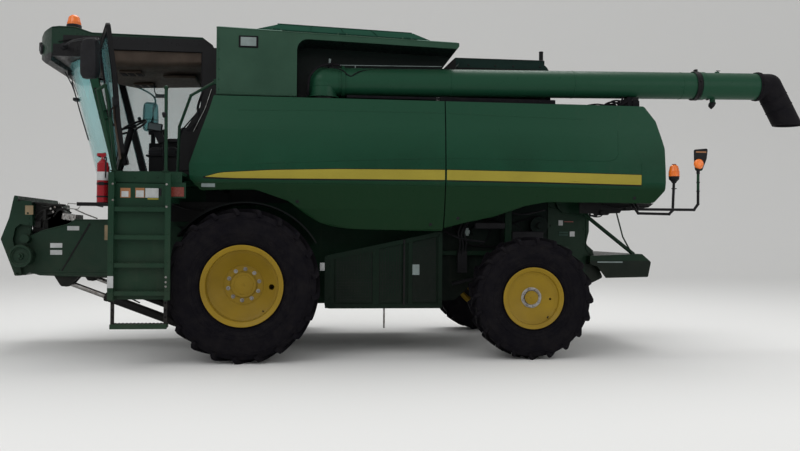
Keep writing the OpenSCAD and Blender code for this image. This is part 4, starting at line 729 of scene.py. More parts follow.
for s in BOTH:
    b.sweep([LAMP + Vector((0, s * y, z)) for y, z in ((44, 60), (50, 0), (44, -8))], 5)
b.lathe([[-34, 0], [-34, 26], [-18, 44], [20, 52], [24, 52], [24, 46]], LAMP, LAMP_AXIS, 28)
b.done("auger_lamp_body", "black_plastic", "auger")
Build().lathe([[22, 46], [26, 34], [28, 0]], LAMP, LAMP_AXIS, 28).done("auger_lamp_lens", "lamp_lens",
                                                                       "auger")
b = Build()
b.sweep([(735, -1290, 3215), (738, -1325, 3300), (752, -1345, 3416), (800, -1350, 3500), (880, -1335, 3568),
         (990, -1290, 3606), (1120, -1240, 3612)], 14, 12, steps=6)
b.sweep([(1002, -1345, 3560), (1080, -1352, 3548), (1156, -1352, 3522), (1210, -1352, 3478),
         (1264, -1350, 3455), (1320, -1346, 3492), (1386, -1320, 3526), (1556, -1270, 3562),
         (1900, -1240, 3589), (2500, -1225, 3604)], 7, steps=4)
for t in (500, 900, 1300):
    b.box(*around(along(t, 176, 12), 10, 14, -4, 8))
b.lathe([[0, 0], [0, 24], [40, 24], [46, 18], [60, 18], [60, 0]], (1002, -1200, 3578), SKYWARD, 16)
b.sweep([(1010, -1200, 3630), (1030, -1240, 3640), (1040, -1300, 3600), (1020, -1340, 3566)], 8, steps=4)
b.done("auger_hoses", "soft_rubber", "auger")
b = Build()
b.sweep([along(t, 207, 8) for t in (60, 400, 900, 1500)], 4.5)
b.box(along(404, 176, 8) + Vector((-6, -4, 0)), along(404, 206, 8) + Vector((6, 4, 0)), 1)
b.lathe(stud(15, 52, 10, 56), (1002, -1200, 3640), SKYWARD, 16)
b.done("auger_wire", "steel", "auger", GREY)
SPOUT_ANGLE = math.radians(61.5)
end = along(5730) + Vector((172, 0, 0))
drop = Vector((math.cos(SPOUT_ANGLE), 0, -math.sin(SPOUT_ANGLE)))
b = Build()
for t in (170, 320):
    b.lathe([[-7, 169], [-5, 175], [5, 175], [7, 169]], end + drop * t, drop, 48)
b.lathe(ring(187, 191, 14), along(5735), AX, 48)
b.bolt(along(5742, 191, 90), OUTWARD, 10, 12)
b.done("spout_rings", "soft_rubber", "auger")

# saddle and what hangs round it
b = Build()
for lo, hi, edge in (((4890, -1300, 3140), (4990, -1060, 3262), 8),
                     ((4820, -1310, 3170), (4885, -1270, 3300), 6),
                     ((4600, -1300, 3146), (4690, -1240, 3200), 8),
                     ((3840, -1292, 3148), (4990, -1276, 3190), 4),
                     ((4540, -1290, 3180), (4680, -1262, 3214), 6),
                     ((4700, -1300, 3190), (4800, -1262, 3236), 8),
                     ((4760, -1302, 3228), (4830, -1270, 3272), 8)):
    b.box(lo, hi, edge)
b.sweep([(4480, -1270, 3158), (4560, -1290, 3215), (4640, -1295, 3232), (4740, -1300, 3205),
         (4830, -1296, 3260)], 12,
        steps=5)
b.sweep([(4520, -1240, 3158), (4640, -1260, 3250), (4760, -1285, 3248), (4850, -1290, 3210),
         (4930, -1290, 3230)], 10,
        steps=5)
b.sweep([(3950, -1290, 3168), (4200, -1292, 3178), (4480, -1292, 3172), (4700, -1290, 3168)], 10, steps=4)
b.sweep([(4745, -1304, 3200), (4748, -1306, 3260), (4765, -1300, 3300)], 11)
b.tubes(9, 8, 5, [(4600, -1280, 3150), (4700, -1300, 3180), (4800, -1308, 3225), (4870, -1302, 3290)],
        [(4300, -1290, 3184), (4420, -1296, 3200), (4540, -1296, 3192), (4650, -1300, 3214),
         (4800, -1300, 3270), (4880, -1296, 3290)])
b.done("saddle_wires", "soft_rubber")
b = Build().prism([(2589, 3776), (2615, 3797), (2640, 3797), (2640, 3540), (2400, 3540), (2449, 3636)], -962,
                  -952)
b.done("tank_rear_apron", "black_paint")

# wheels: x, z, plane of the wheel, circle and number of nuts, raised rings, hub, face of the disc;
# tyre: outer radius, flange, half width at the bead and at its widest, radius of the bead
WHEELS = {"front": (0, FRONT_Z, 1480, 185, 10, (229, 160), 146, 74, (854, 479, 312, 364.6, 428)),
          "rear": (REAR_X, REAR_Z, 1523, 104, 8, (188,), 84, 72, (709, 379, 158, 203, 335))}


def wheel(word, s, end, x, z, y0, nut_r, nuts, rings, hub, disc_y, tyre):
    tail = "_%s_%s" % (end, word)
    body = "%s_wheel_%s" % (end, word)
    face, cap = y0 + disc_y, (x, y0 + 92, z)
    b = Build(s)
    for dx, dz in circle(nuts, nut_r, 0.35 * FULL / nuts):
        at = (x + dx, face + 0.5, z + dz)
        b.lathe([[0, 0], [0, 24], [2.5, 24], [3, 19], [3, 0]], at, n=20)
        b.lathe([[2, 16], [17, 16], [20, 12], [20, 8], [30, 8], [31, 6], [31, 0]], at, n=6)
    b.done("wheel_nuts" + tail, "steel", body)
    b = Build(s)
    for r in rings:
        b.lathe([[-1, r - 5], [3.2, r - 2], [3.2, r + 2], [-1, r + 5]], (x, face, z), n=72)
    b.lathe([[0, hub * 0.78], [3, hub * 0.76], [4, hub * 0.74], [4, 0]], cap, n=48)
    b.lathe([[3, 0], [3, 16], [9, 14], [10, 0]], cap, n=24)
    if end == "front":
        for dx, dz in circle(6, 112, 0.2):
            b.bolt((x + dx, y0 + 92.5, z + dz), r=8)
    b.done("wheel_disc" + tail, "wheel_yellow", body)
    r_out, flange, bead_y, side_y, r_bead = tyre
    rv, a = flange - 74, math.radians(-52)
    foot = Vector((x + rv * math.cos(a), face + 66, z + rv * math.sin(a)))
    tip = foot + Vector((-0.35 * math.cos(a), 0.9, -0.35 * math.sin(a))) * 56
    b = Build(s).sweep([foot, tip], [9, 6], 10).sweep([tip, tip + (tip - foot) * 0.25], 8, 10)
    b.done("valve" + tail, "black_plastic", body)
    lean = r_bead + (r_out - r_bead) * 0.42

    def wall(r):
        return y0 + bead_y + (side_y - bead_y) * min(1, max(0, (r - flange) / (lean - flange)))

    b = Build(s)
    for r, h in ((flange + 22, 5), (flange + 48, 3), (lean - 30, 3), (lean + 12, 4), (r_out - 78, 4),
                 (r_out - 60, 3)):
        b.lathe([[-3, r - 7], [h * 0.7, r - 4], [h, r], [h * 0.7, r + 4], [-3, r + 7]], (x, wall(r), z), n=96)
    r = (lean + r_out) / 2 - 20
    for k in range(8):
        b.box((x - 46, wall(r) - 2, z + r - 4), (x + 46, wall(r) + 3, z + r + 4), 2, rot("Y", -s * 45 * k),
              (x, 0, z))
    b.lathe([[-3, lean - 4], [3, lean], [-3, lean + 7]], (x, y0 - side_y, z), (0, -1, 0), 72)
    b.done("tyre_rings" + tail, "tyre_rubber", body)


for word, s in SIDES.items():
    for end, sizes in WHEELS.items():
        wheel(word, s, end, *sizes)
    b = Build(s).lathe([[0, 86], [0, 126], [3, 126], [5, 122], [5, 90], [3, 86]], (REAR_X, 1595.2, REAR_Z),
                       n=56)
    b.done("rear_hub_ring_" + word, "steel", "rear_wheel_" + word)
    b = Build(s).lathe([[68, 198], [70, 198], [70, 268], [68, 268], [68, 198]], (REAR_X, 1523, REAR_Z), n=64)
    b.done("rear_disc_lining_" + word, "black_paint", "rear_wheel_" + word)

# blank plates and labels on the left side: name, body, x0, x1, z0, z1, y, thickness, look
for name, body, *place, look in (
        ("ladder_plate_a", "ladder", -1351, -1240, 1902, 2011, 1880.5, 3, WARM),
        ("ladder_plate_b", "ladder", -1187, -1086, 1902, 2014, 1880.5, 3, WARM),
        ("ladder_plate_c", "ladder", -1077, -932, 1904, 2012, 1880.5, 3, WHITE),
        ("ladder_plate_face_a", "ladder", -1338, -1262, 1910, 1975, 1883.5, 1.5, WHITE),
        ("ladder_plate_face_b", "ladder", -1180, -1094, 1908, 1985, 1883.5, 1.5, WHITE),
        ("ladder_line", "ladder", -1053, -932, 1884, 1898, 1880.5, 3, STRIPE),
        ("ladder_plate_dark", "ladder", -930, -900, 1925, 2012, 1880.5, 3, None),
        ("ladder_reflector", "ladder", -1460, -1395, 889, 1022, 1977, 4, WHITE),
        ("feeder_plate_a", "feeder", -2264, -2118, 1530, 1584, 720.5, 2.5, WHITE),
        ("feeder_plate_b", "feeder", -2467, -2321, 1310, 1368, 720.5, 2.5, WHITE),
        ("feeder_plate_c", "feeder", -2466, -2322, 1222, 1281, 720.5, 2.5, WHITE),
        ("feeder_plate_d", "feeder", -1810, -1764, 1410, 1600, 720.5, 2.5, SAND),
        ("feeder_plate_e", "feeder", -2752, -2656, 1722, 1836, 780.5, 2.5, SAND)):
    slot = {"ladder_line": "wheel_yellow", "ladder_plate_dark": "black_plastic"}.get(name, "lamp_lens")
    Build(-1).plate(*place).done(name, slot, body, look)
# the same on both sides
for word, s in SIDES.items():
    for name, body, *place, look in (("panel_plate", "panel_%s_front" % word, -512, -352, 2056, 2118, 1499,
                                      5, GREY),
                                     ("shield_plate", "chassis", 2017, 2150, 1000, 1132, 1191.5, 3, GREY),
                                     ("chopper_plate_a", "chassis", 4105, 4165, 1646, 1716, 721, 2.5, WHITE),
                                     ("chopper_plate_b", "chassis", 4262, 4330, 1498, 1566, 721, 2.5, WHITE),
                                     ("chopper_plate_c", "chassis", 4182, 4310, 1692, 1704, 721, 2.5,
                                      LENS_DARK),
                                     ("chopper_plate_d", "chassis", 4110, 4236, 1506, 1530, 721, 2.5,
                                      GREY_GREEN),
                                     ("chopper_plate_e", "chassis", 4110, 4236, 1540, 1562, 721, 2.5,
                                      GREY_GREEN)):
        Build(s).plate(*place).done("%s_%s" % (name, word), "lamp_lens", body, look)

# ladder: treads, straps, pins
b = Build(-1)
for step in range(4):
    z = 851 + step * 314
    for k in range(17):
        x = -1400 + k * 35
        for y in (1900, 1935):
            b.box((x, y - 9, z - 2), (x + 22, y + 9, z + 7))
for x in (-1429, -812):
    b.bolts(1977, [(x, z) for z in (860, 1180, 1500, 1815)])
    for dx in (-32, 26):
        b.box((x + dx, 1976, 753), (x + dx + 6, 1979, 2180), 1)
for x0, x1 in ((-1420, -1374), (-867, -820)):
    b.box((x0, 1874, 753), (x1, 1882, 2064))
b.box((-1432, 1966, 430), (-810, 1984, 486), 8)
b.done("ladder_treads", "green", "ladder", LADDER)
b = Build(-1)
for k in range(14):
    b.box((-1400 + k * 42, 1880, 484), (-1376 + k * 42, 1970, 491))
b.bolts(1951, [(x, z) for x in (-1409, -832) for z in (560, 640, 720)], 8, 6)
b.done("hanging_step_tread", "soft_rubber", "ladder")
b = Build(-1).bolts(1977.5, [(-1412, 2050), (-826, 2052), (-1409, 1870), (-826, 1800), (-826, 905), (-826, 955),
                             (-826, 1010)], 8, 9)
b.done("ladder_pins", "steel", "ladder")

# platform: tread plate, edge bolts, reflector, boxes
b = Build(-1)
for i in range(18):
    for k in range(10):
        x, y = -1430 + i * 42, 1820 - k * 96 - (48 if i % 2 else 0)
        b.box((x - 12, y - 3, 2203), (x + 12, y + 3, 2208), 1, rot("Z", 45 if k % 2 else -45))
b.box((-820, 1842, 1905), (-636, 1850, 2080))
b.box((-1385, 1698, 1880), (-1180, 1712, 2050), 4)
b.box((-1160, 1698, 1880), (-840, 1712, 2050), 4)
b.bolts(1850, [(x, 2140) for x in (-1450, -1200, -950, -720)])
for x in (-866, -1436):
    b.lathe([[0, 19], [0, 42], [8, 42], [10, 36], [10, 19]], (x, 1834, 2205), SKYWARD, 24)
b.done("platform_details", "green", mat=LADDER)
Build(-1).box((-800, 1849, 1922), (-655, 1857, 2030), 3).done("reflector_left", "amber_lens", mat=LENS_DARK)
b = Build().lathe([[0, 0], [0, 30], [30, 34], [46, 26], [46, 0]], (-905, -1834, 2850), (1, 0, 0.2), 20)
b.box((-890, -1845, 2835), (-850, -1822, 2875), 4).done("rail_grip", "black_plastic")

# fire extinguisher: band, straps, valve, hose
BOTTLE = (-1548, -1868)
b = Build().lathe(ring(62, 63.2, 96), (*BOTTLE, 2092), SKYWARD, 40)
b.done("extinguisher_label", "extinguisher_red", mat=WHITE)
b = Build().lathe(ring(62, 64, 24), (*BOTTLE, 2042), SKYWARD, 40).lathe(ring(62, 64, 18), (*BOTTLE, 1900),
                                                                        SKYWARD, 40)
b.box((-1578, -1938, 2036), (-1518, -1928, 2072), 3)
b.lathe(ring(0, 63.5, 10), (*BOTTLE, 1836), SKYWARD)
b.sweep([(-1530, -1868, 2345), (-1506, -1896, 2350), (-1502, -1916, 2290), (-1503, -1920, 2180),
         (-1506, -1921, 2120)],
        8, 10, steps=6)
b.box((-1615, -1876, 2378), (-1515, -1860, 2396), 3, rot("Y", -16))
b.box((-1600, -1878, 2350), (-1520, -1858, 2366), 3, rot("Y", 8))
b.done("extinguisher_fittings", "black_plastic")
Build(-1).lathe(stud(15, 8, 12, 9), (-1548, 1880, 2340), n=20).done("extinguisher_gauge", "steel")

# feeder house: seams, hoses, couplers, drive wheel
b = Build(-1)
b.line(720, [(-2585, 974), (-1740, 944), (-1010, 1168)], 9, 8)
b.line(720, [(-2556, 1524), (-2260, 1602), (-2171, 1662), (-1744, 1662), (-1012, 1790)], 8, 8)
for b.side in BOTH:
    b.bolts(720, [(-2360, 1030), (-2240, 1240), (-2100, 1480), (-2020, 1600), (-1750, 1020), (-1500, 1050),
                  (-1250, 1105),
                  (-1750, 1640), (-1400, 1740)])
    b.box((-2700, 719, 1002), (-1010, 727, 1018), 3)
    b.lathe(ring(71, 120, 6), (-950, 768, 1480), n=40)
    b.bolts(781, [(-2700 - z * 0.1, 1540 + z) for z in (0, 70, 140, 200)], 9, 8)
b.box((-2710, -560, 1600), (-2560, 560, 1612), 3)
b.done("feeder_seams", "green", "feeder", FEEDER)
b = Build(-1).prism([(-2340, 1006), (-2322, 1006), (-1979, 1611), (-1997, 1625)], 719, 724)
b.done("feeder_seam", "black_paint", "feeder")
DRIVE = (-2770, 866, 1208)
b = Build(-1)
b.lathe([[0, 92], [0, 136], [8, 139], [13, 131], [22, 131], [27, 139], [35, 136], [35, 112], [20, 104],
         [14, 92]],
        DRIVE, n=64)
b.lathe([[0, 0], [4, 92], [8, 60], [12, 46], [34, 40], [34, 20]], DRIVE, n=48)
b.bolts(901, [(DRIVE[0] + dx, DRIVE[2] + dz) for dx, dz in circle(5, 30, math.pi / 5)], 5, 5)
b.done("feeder_drive_wheel", "green", "feeder", FEEDER)
b = Build()
b.sweep([(-2840, -790, 1905), (-2700, -700, 1880), (-2560, -640, 1850), (-2480, -560, 1760)], 12, steps=5)
# this flat dark plate stands for the shaded clutter behind the hoses: painted shade
b.prism([(-2705, 1500), (-2705, 1862), (-2640, 1886), (-2350, 1852), (-2322, 1720), (-2190, 1640),
         (-2440, 1536)],
        -640, -604)
b.tubes(12, 8, 6, [(-2700, -660, 1600), (-2660, -672, 1700), (-2600, -676, 1762), (-2520, -664, 1800),
                   (-2440, -650, 1790)],
        [(-2640, -650, 1560), (-2612, -676, 1650), (-2545, -684, 1722), (-2450, -668, 1750)])
b.tubes(10, 8, 6, [(-2450, -660, 1700), (-2390, -690, 1775), (-2310, -694, 1800), (-2230, -668, 1748)],
        [(-2600, -660, 1840), (-2520, -680, 1820), (-2450, -690, 1850), (-2380, -670, 1835)])
b.sweep([(-2120, -640, 1880), (-1980, -650, 1862), (-1850, -640, 1836)], 11)
b.sweep([(-2560, -680, 1560), (-2540, -700, 1640), (-2470, -700, 1690)], 11, steps=5)
b.box((-2690, -700, 1560), (-2590, -500, 1640), 6)
b.box((-2500, -690, 1840), (-2330, -560, 1862), 4)
b.box((-2560, -720, 1650), (-2520, -680, 1790), 6)
b.done("feeder_hoses", "soft_rubber", "feeder", FILL)
b = Build(-1)
b.box((-2345, 652, 1655), (-2165, 690, 1742), 8, rot("Y", 10))
for x, z in ((-2318, 1722), (-2262, 1712), (-2206, 1702), (-2310, 1676), (-2240, 1668), (-2190, 1662)):
    b.lathe(stud(12, 14, 8, 16), (x, 689, z), n=12)
b.sweep([(-2290, 662, 1760), (-2276, 662, 1872), (-2110, 660, 1862), (-2156, 660, 1800), (-2280, 662, 1808)],
        6)
b.sweep([(-2390, 650, 1880), (-2330, 660, 1800)], 6)
b.sweep([(-2210, 600, 1800), (-2080, 590, 1740), (-1935, 580, 1684)], 8)
for x, z in ((-2470, 1800), (-2440, 1760), (-2420, 1820), (-2250, 1690)):
    b.lathe(stud(13, 26, 9, 28), (x, 690, z), n=12)
b.done("feeder_couplers", "steel", "feeder")

# lower shields: frames, wire screens, tags, straps; x0, x1, foot, upper corners
SHIELDS, MESH = ((1090, 1930, 652, 1205, 1388), (1996, 2372, 652, 1402, 1484)), 36
for word, s in SIDES.items():
    b = Build(s)
    for sizes in SHIELDS:
        b.line(1194, rectangle(*sizes), 7, caps=False)
    b.box((965, 1199, 586), (2435, 1210, 622), 3)
    b.bolts(1207, [(1030, 700), (1030, 1120), (1964, 700), (1964, 1380), (2406, 700), (2406, 1500)])
    b.done("shield_frames_" + word, "green", mat=SHIELD)
    b = Build(s)
    for x0, x1, z0, za, zb in SHIELDS:
        for k in range(1, 24):
            x = x0 + (x1 - x0) * k / 24
            b.box((x - 2, 1188.4, z0), (x + 2, 1191.5, za + (zb - za) * k / 24), 0)
        for k in range(1, int((za - z0) / MESH)):
            b.box((x0, 1188.4, z0 + k * MESH - 2), (x1, 1191, z0 + k * MESH + 2), 0)
    b.done("shield_screens_" + word, "black_paint")
    b = Build(s).plate(906, 962, 1064, 1136, 1196).box((900, 1180, 1050), (968, 1196, 1150), 3)
    b.done("shield_tag_" + word, "lamp_lens", mat=WHITE)
    Build(s).box((1944, 1199, 612), (1966, 1208, 1448), 3).done("shield_strap_" + word, "black_paint")
Build(-1).line(1000, [(1724, 620), (1724, 312)], 12, 10).done("drain_pipe", "steel")

# cab: lining, seals, lamps, wiper, inside pieces
DOOR_HINGE, DOOR_OPEN, DOOR_LEAN = (-1610, 902, 2200), math.radians(72), math.radians(8)


def door(u, t, w):
    """A place on the open door: u away from the hinge, t towards its outer side, w up."""
    x, y = 28 + u, t
    x, y = (x * math.cos(DOOR_OPEN) - y * math.sin(DOOR_OPEN),
            x * math.sin(DOOR_OPEN) + y * math.cos(DOOR_OPEN))
    x, z = (x * math.cos(DOOR_LEAN) - w * math.sin(DOOR_LEAN),
            x * math.sin(DOOR_LEAN) + w * math.cos(DOOR_LEAN))
    return Vector((DOOR_HINGE[0] + x, -(DOOR_HINGE[1] + y), DOOR_HINGE[2] + z))


def on_door(b, name, slot, mat=None):
    """Hangs a piece drawn in the door's own plane on the open door."""
    b.v = [door(*p) for p in b.v]
    b.done(name, slot, "cab_door", mat)


ROOF_R, ROOF_HALF, LINING_REAR = 1010, 834, -455
rings = []
for z, grow in ((3796, 0), (3690, -6), (3640, -22), (3612, -60), (3600, -130)):
    row = []
    for y in span(-ROOF_HALF - grow, ROOF_HALF + grow, 14):
        bow = math.sqrt(ROOF_R ** 2 - min(abs(y), ROOF_HALF) ** 2) * 0.86
        row.append(Vector((-1240 - bow - (z - 3600) * 0.2 - grow, y, z)))
    for y in span(ROOF_HALF + grow, -ROOF_HALF - grow, 14):
        row.append(Vector((LINING_REAR + grow * 1.6, y, z + (46 if grow < -10 else 0))))
    rings.append(row)
b = Build().loft(rings)
for y in (-420, 420):
    b.box((-1700, y - 120, 3578), (-1420, y + 120, 3606), 8)
b.box((-1180, -330, 3570), (-760, 330, 3604), 12)
b.done("cab_lining", "black_plastic", mat=TRIM)
b = Build()
for y in (-420, 420):
    for x in (-1660, -1560, -1460):
        b.box((x - 34, y - 90, 3572), (x + 34, y + 90, 3580), 4)
for b.side in BOTH:
    b.line(861, [(-1660, 2215), (-2066, 3812)], 8, 8)
    b.line(861, [(-1566, 2215), (-1972, 3800)], 8, 8)
    b.line(860, [(-1960, 3806), (-640, 3806)], 9, 8)
    b.sweep([(x, 860, z) for x, z in ((-925, 2215), (-872, 2720), (-800, 2860), (-640, 3060), (-604, 3200),
                                      (-604, 3800))],
            9, steps=3)
# seal along the bottom and the top of the windshield
GLASS_R, GLASS_LEAN = 1070, math.tan(math.radians(14))
for z in (2212, 3690):
    cx = -1600 + math.sqrt(GLASS_R ** 2 - 850 ** 2) - (z - 2200) * GLASS_LEAN
    turns = [math.radians(a) for a in span(-51, 51, 20)]
    b.sweep([(cx - (GLASS_R + 2) * math.cos(a), (GLASS_R + 2) * math.sin(a), z) for a in turns], 11)
b.done("cab_seals", "soft_rubber")
b = Build().box((-2400, -330, 3560), (-2300, -230, 3640), 8)
for path, r, n in (([(-2440, -300, 3610), (-2350, -300, 3440), (-2290, -330, 3290)], 7, 8),
                   ([(-2395, -280, 3600), (-2325, -290, 3440), (-2270, -320, 3310)], 5, 8),
                   ([(-2330, -385, 3470), (-2215, -430, 3090), (-2088, -470, 2700)], 6, 8),
                   ([(-2322, -392, 3470), (-2206, -436, 3090), (-2080, -476, 2700)], 4, 6)):
    b.sweep(path, r, n)
b.box((-2310, -400, 3220), (-2240, -300, 3260), 5)
b.done("wiper", "black_plastic")
b = Build(-1).sweep([(-2350, 885, 3870), (-2210, 885, 3905), (-1900, 884, 3930)], 7, 6)
for b.side in BOTH:
    b.sweep([(-1905, 884, 3300), (-1880, 886, 3210), (-1700, 886, 2520), (-1690, 884, 2470)], 11)
    b.bolts(872, [(-1905, 3300), (-1690, 2470)], 9, 8)
b.done("cab_grips", "black_paint")
Build(-1).line(878, [(-700, 2790), (-560, 3080), (-480, 3330)], 5).done("cab_pale_line", "steel")
b = Build(-1).line(876, [(-560, 2330), (-600, 2300), (-900, 2290)], 6)
for k in range(3):
    b.sweep([(-600 + 12 * k, 866, 3300), (-660 + 10 * k, 867, 3100), (-640 + 14 * k, 866, 2960),
             (-720, 866, 2850 - 20 * k),
             (-780, 866, 2800)], 6, steps=5)
b.box((-700, 860, 2820), (-650, 873, 2900), 3).done("cab_rear_wires", "soft_rubber")
b = Build()
for b.side in BOTH:
    b.sweep([(-2425, 868, 4053), (-2340, 868, 4064), (-2160, 868, 4062), (-1950, 868, 3996), (-600, 868, 3980),
             (-480, 866, 3890)], 8)
for x in (-1800, -1400, -1000):
    b.box((x, -560, 3985), (x + 26, 560, 3997), 4)
b.done("roof_edges", "green", mat=ROOF)

# work lamps round the roof's bowed front
POD_R, LENS_R = 1300, 48
rims, lenses = Build(), Build()
for y in (-560, -420, -210, 210, 420, 560):
    z = 3840 if abs(y) == 560 else 3900
    a = math.asin(y / POD_R)
    rims.lathe([[0, 49], [0, 62], [14, 62], [18, 56], [30, 53], [30, 49]],
               (-1465 - (POD_R + 1) * math.cos(a), y, z), (-math.cos(a), math.sin(a), 0), 28)
    for k in range(-3, 4):
        h = math.sqrt(LENS_R ** 2 - (k * 12) ** 2) - 4
        c = Vector((-1465 - (POD_R + 25.5) * math.cos(a), y, z)) + Vector((math.sin(a), math.cos(a),
                                                                           0)) * k * 12
        lenses.sweep([c + Vector((0, 0, -h)), c + Vector((0, 0, h))], 2.5, 6)
rims.done("roof_lamp_rings", "black_plastic")
lenses.done("roof_lamp_lenses", "lamp_lens")

# beacons: black bases, rings, ribs and caps
b = Build()
for b.side in BOTH:
    for rows, centre, n in (([[0, 76], [0, 88], [10, 92], [78, 92], [86, 87], [86, 76]], (-2245, 600, 4068),
                             36),
                            ([[-50, 0], [-50, 24], [-24, 40], [-4, 62], [34, 66], [38, 60]],
                             (5363, 1500, 2236), 32),
                            ([[0, 17], [0, 30], [10, 30], [10, 17]], (5363, 1500, 2110), 16),
                            ([[0, 0], [0, 28], [8, 24], [8, 0]], (5363, 1500, 2420), 20)):
        b.lathe(rows, centre, SKYWARD, n)
    b.box((5330, 1494, 2112), (5398, 1506, 2122))
b.done("beacon_bases", "black_plastic")
b = Build()
for b.side in BOTH:
    for x, y, z, r, h in ((-2245, 600, 4110, 82, 170), (5363, 1500, 2270, 64, 150)):
        for dx, dy in circle(20, r + 0.5):
            b.sweep([(x + dx, y + b.side * dy, z + 8), (x + dx, y + b.side * dy, z + h * 0.44)], 2.4, 6)
        b.lathe(ring(r - 1, r + 4, 7), (x, y, z + 1), SKYWARD, 36)
b.done("beacon_ribs", "amber_lens")

# mirrors: broad rounded heads on arms, with their glass; side, x, bottom, top, height of the arm's end
HEAD_Y, HALF_W, SQUARENESS = 1715, 118, 0.42
heads, panes = Build(), Build()
for s, cx, z0, z1, arm_z in ((-1, -1735, 3264, 3726, 3740), (1, -1740, 3100, 3560, 3640)):
    cz, half_h, tilt = (z0 + z1) / 2, (z1 - z0) / 2, rot("Z", s * 28)

    def on_head(u, t, w):
        p = tilt @ Vector((u, s * -t, 0))
        return Vector((cx + p.x, s * HEAD_Y + p.y, cz + w))

    rings = []
    for t, g in ((-52, 0.80), (-46, 0.93), (-28, 1.0), (20, 1.0), (30, 0.97), (34, 0.93)):
        row = []
        for ca, sa in circle(32, 1):
            w = half_h * g * math.copysign(abs(sa) ** SQUARENESS, sa)
            u = HALF_W * g * math.copysign(abs(ca) ** SQUARENESS, ca) * (1 - 0.06 * w / half_h)
            row.append(on_head(u, t, w))
        rings.append(row)
    heads.loft(rings)
    for top, low in ((0.86, -0.16), (-0.24, -0.86)):
        corners = ((-98, top), (98, top), (98, low), (-98, low))
        panes.loft([[on_head(u, t, half_h * w) for u, w in corners] for t in (35.5, 32.5)])
    heads.sweep([(-2290, s * 868, 3820), (-2230, s * 980, 3812), (-2020, s * 1330, 3790),
                 (cx + 60, s * 1640, arm_z),
                 (cx + 40, s * 1690, cz + 60)], 14, 10, steps=5)
    heads.sweep([(cx + 40, s * 1690, cz + 150), (cx + 40, s * 1690, cz - 110)], 13, 10)
    heads.lathe([[0, 0], [0, 42], [16, 42], [20, 34], [20, 0]], (-2290, s * 864, 3820), (0, s, 0), 28)
mo = heads.done("mirror_heads", "black_plastic")
panes.done("mirror_glass", "lamp_lens", mat=MIRROR)
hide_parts("mirrors")

# door: seals, trim, latch, hinge plates
b = Build()
for depth, r, outline in ((21, 5, [(24, 60), (20, 1632), (1150, 1578), (1140, 1010), (886, 580), (850, 190),
                                   (24, 60)]),
                          (19, 8, [(118, 158), (118, 1560), (1085, 1512), (1075, 1050), (800, 610),
                                   (768, 262), (118, 158)])):
    for t in (-depth, depth):
        b.sweep([door(u, t, w) for u, w in outline], r, 6, caps=False)
b.done("door_seals", "soft_rubber", "cab_door")
b = Build().box((796, 22, 110), (876, 44, 560), 8)
for w in range(0, 192, 32):
    u = 872 + w * 0.59
    b.box((u - 78, 22, 560 + w), (u - 8, 44, 596 + w), 4)
on_door(b, "door_trim", "black_plastic", TRIM)
b = Build().box((922, -12, 697), (1032, 40, 802), 10)
b.lathe([[-14, 0], [-14, 50], [-6, 58], [36, 58], [46, 46], [46, 0]], (985, 0, 750), n=28)
b.sweep([(957, 46, 692), (947, 78, 652), (890, 82, 560), (850, 50, 500)], 11, steps=5)
on_door(b, "door_latch", "black_plastic")
b = Build()
for w in (260, 800):
    b.box((-18, 12, w - 30), (60, 28, w + 30), 3)
    b.bolts(28, [(u, w + dw) for u in (20, 46) for dw in (14, -14)], 7, 6)
on_door(b, "door_hinge_plates", "black_paint")

# inside the cab: screen, armrest, pedals, handset, wheel spokes, floor mat
SEAT_X = -1180
b = Build()
for lo, hi, edge, *turn in (
        ((-1480, -330, 2205), (-760, 330, 2216), 3), ((-1180, 300, 2740), (-860, 470, 2800), 18),
        ((-1120, -330, 2700), (-880, -268, 2760), 16),
        ((-1265, -345, 2690), (-1165, -290, 2860), 8, rot("Y", -24)),
        ((-1370, -350, 2850), (-1180, -322, 2960), 8, rot("Y", 8)),
        ((-1560, 830, 2760), (-1500, 868, 2980), 8),
        ((-1590, 800, 2940), (-1480, 850, 3010), 8), ((-1400, 290, 3400), (-1250, 306, 3452), 8)):
    b.box(lo, hi, edge, *turn)
b.sweep([(-1180, 380, 2760), (-1250, 372, 2800), (-1290, 360, 2850)], 18, 10, steps=4)
b.sweep([(-1250, 390, 2780), (-1290, 400, 2900)], 14, 10)
b.lathe([[0, 0], [0, 20], [60, 26], [80, 18], [84, 0]], (-1290, 400, 2890), (-0.2, 0, 1), 20)
for y in (-170, 120):
    b.box((-1960, y, 2290), (-1900, y + 90, 2300), 3, rot("Y", 40))
    b.sweep([(-1930, y + 45, 2290), (-1960, y + 45, 2215)], 9)
b.sweep([(-1530, 832, 3200), (-1560, 835, 3080), (-1520, 840, 2980)], 12, steps=4)
b.sweep([(-1420, 300, 3590), (-1410, 300, 3480), (-1380, 300, 3440)], 7)
for z in range(2240, 2474, 26):
    b.box((SEAT_X - 185, -196, z), (SEAT_X + 196, 196, z + 12), 5)
b.sweep([(-1160, -360, 2460), (-1160, -360, 2700)], 12)
b.done("cab_inside", "black_plastic")
b = Build().box((-1358, -356, 2866), (-1196, -350, 2948), 3, rot("Y", 8), (-1275, -336, 2905))
b.box((-1390, 286, 3408), (-1260, 289, 3444), 3).done("display_glass", "lamp_lens", mat=SCREEN)
WHEEL, tilt = Vector((-1640, 0, 2940)), rot("Y", -28)
WHEEL_AXIS = tilt @ Vector(SKYWARD)
b = Build()
for k in range(3):
    b.box((-1600, -9, 2938), (-1450, 9, 2954), 5, tilt @ rot("Z", 120 * k), WHEEL)
b.lathe([[-6, 0], [-6, 58], [8, 62], [14, 50], [18, 30], [20, 0]], WHEEL, WHEEL_AXIS)
b.lathe([[0, 0], [0, 17], [30, 24], [46, 18], [50, 0]], WHEEL + tilt @ Vector((150, -120, 10)), WHEEL_AXIS,
        18)
b.sweep([(-1742, -6, 2560), (-1760, -120, 2600), (-1760, -190, 2616)], 8)
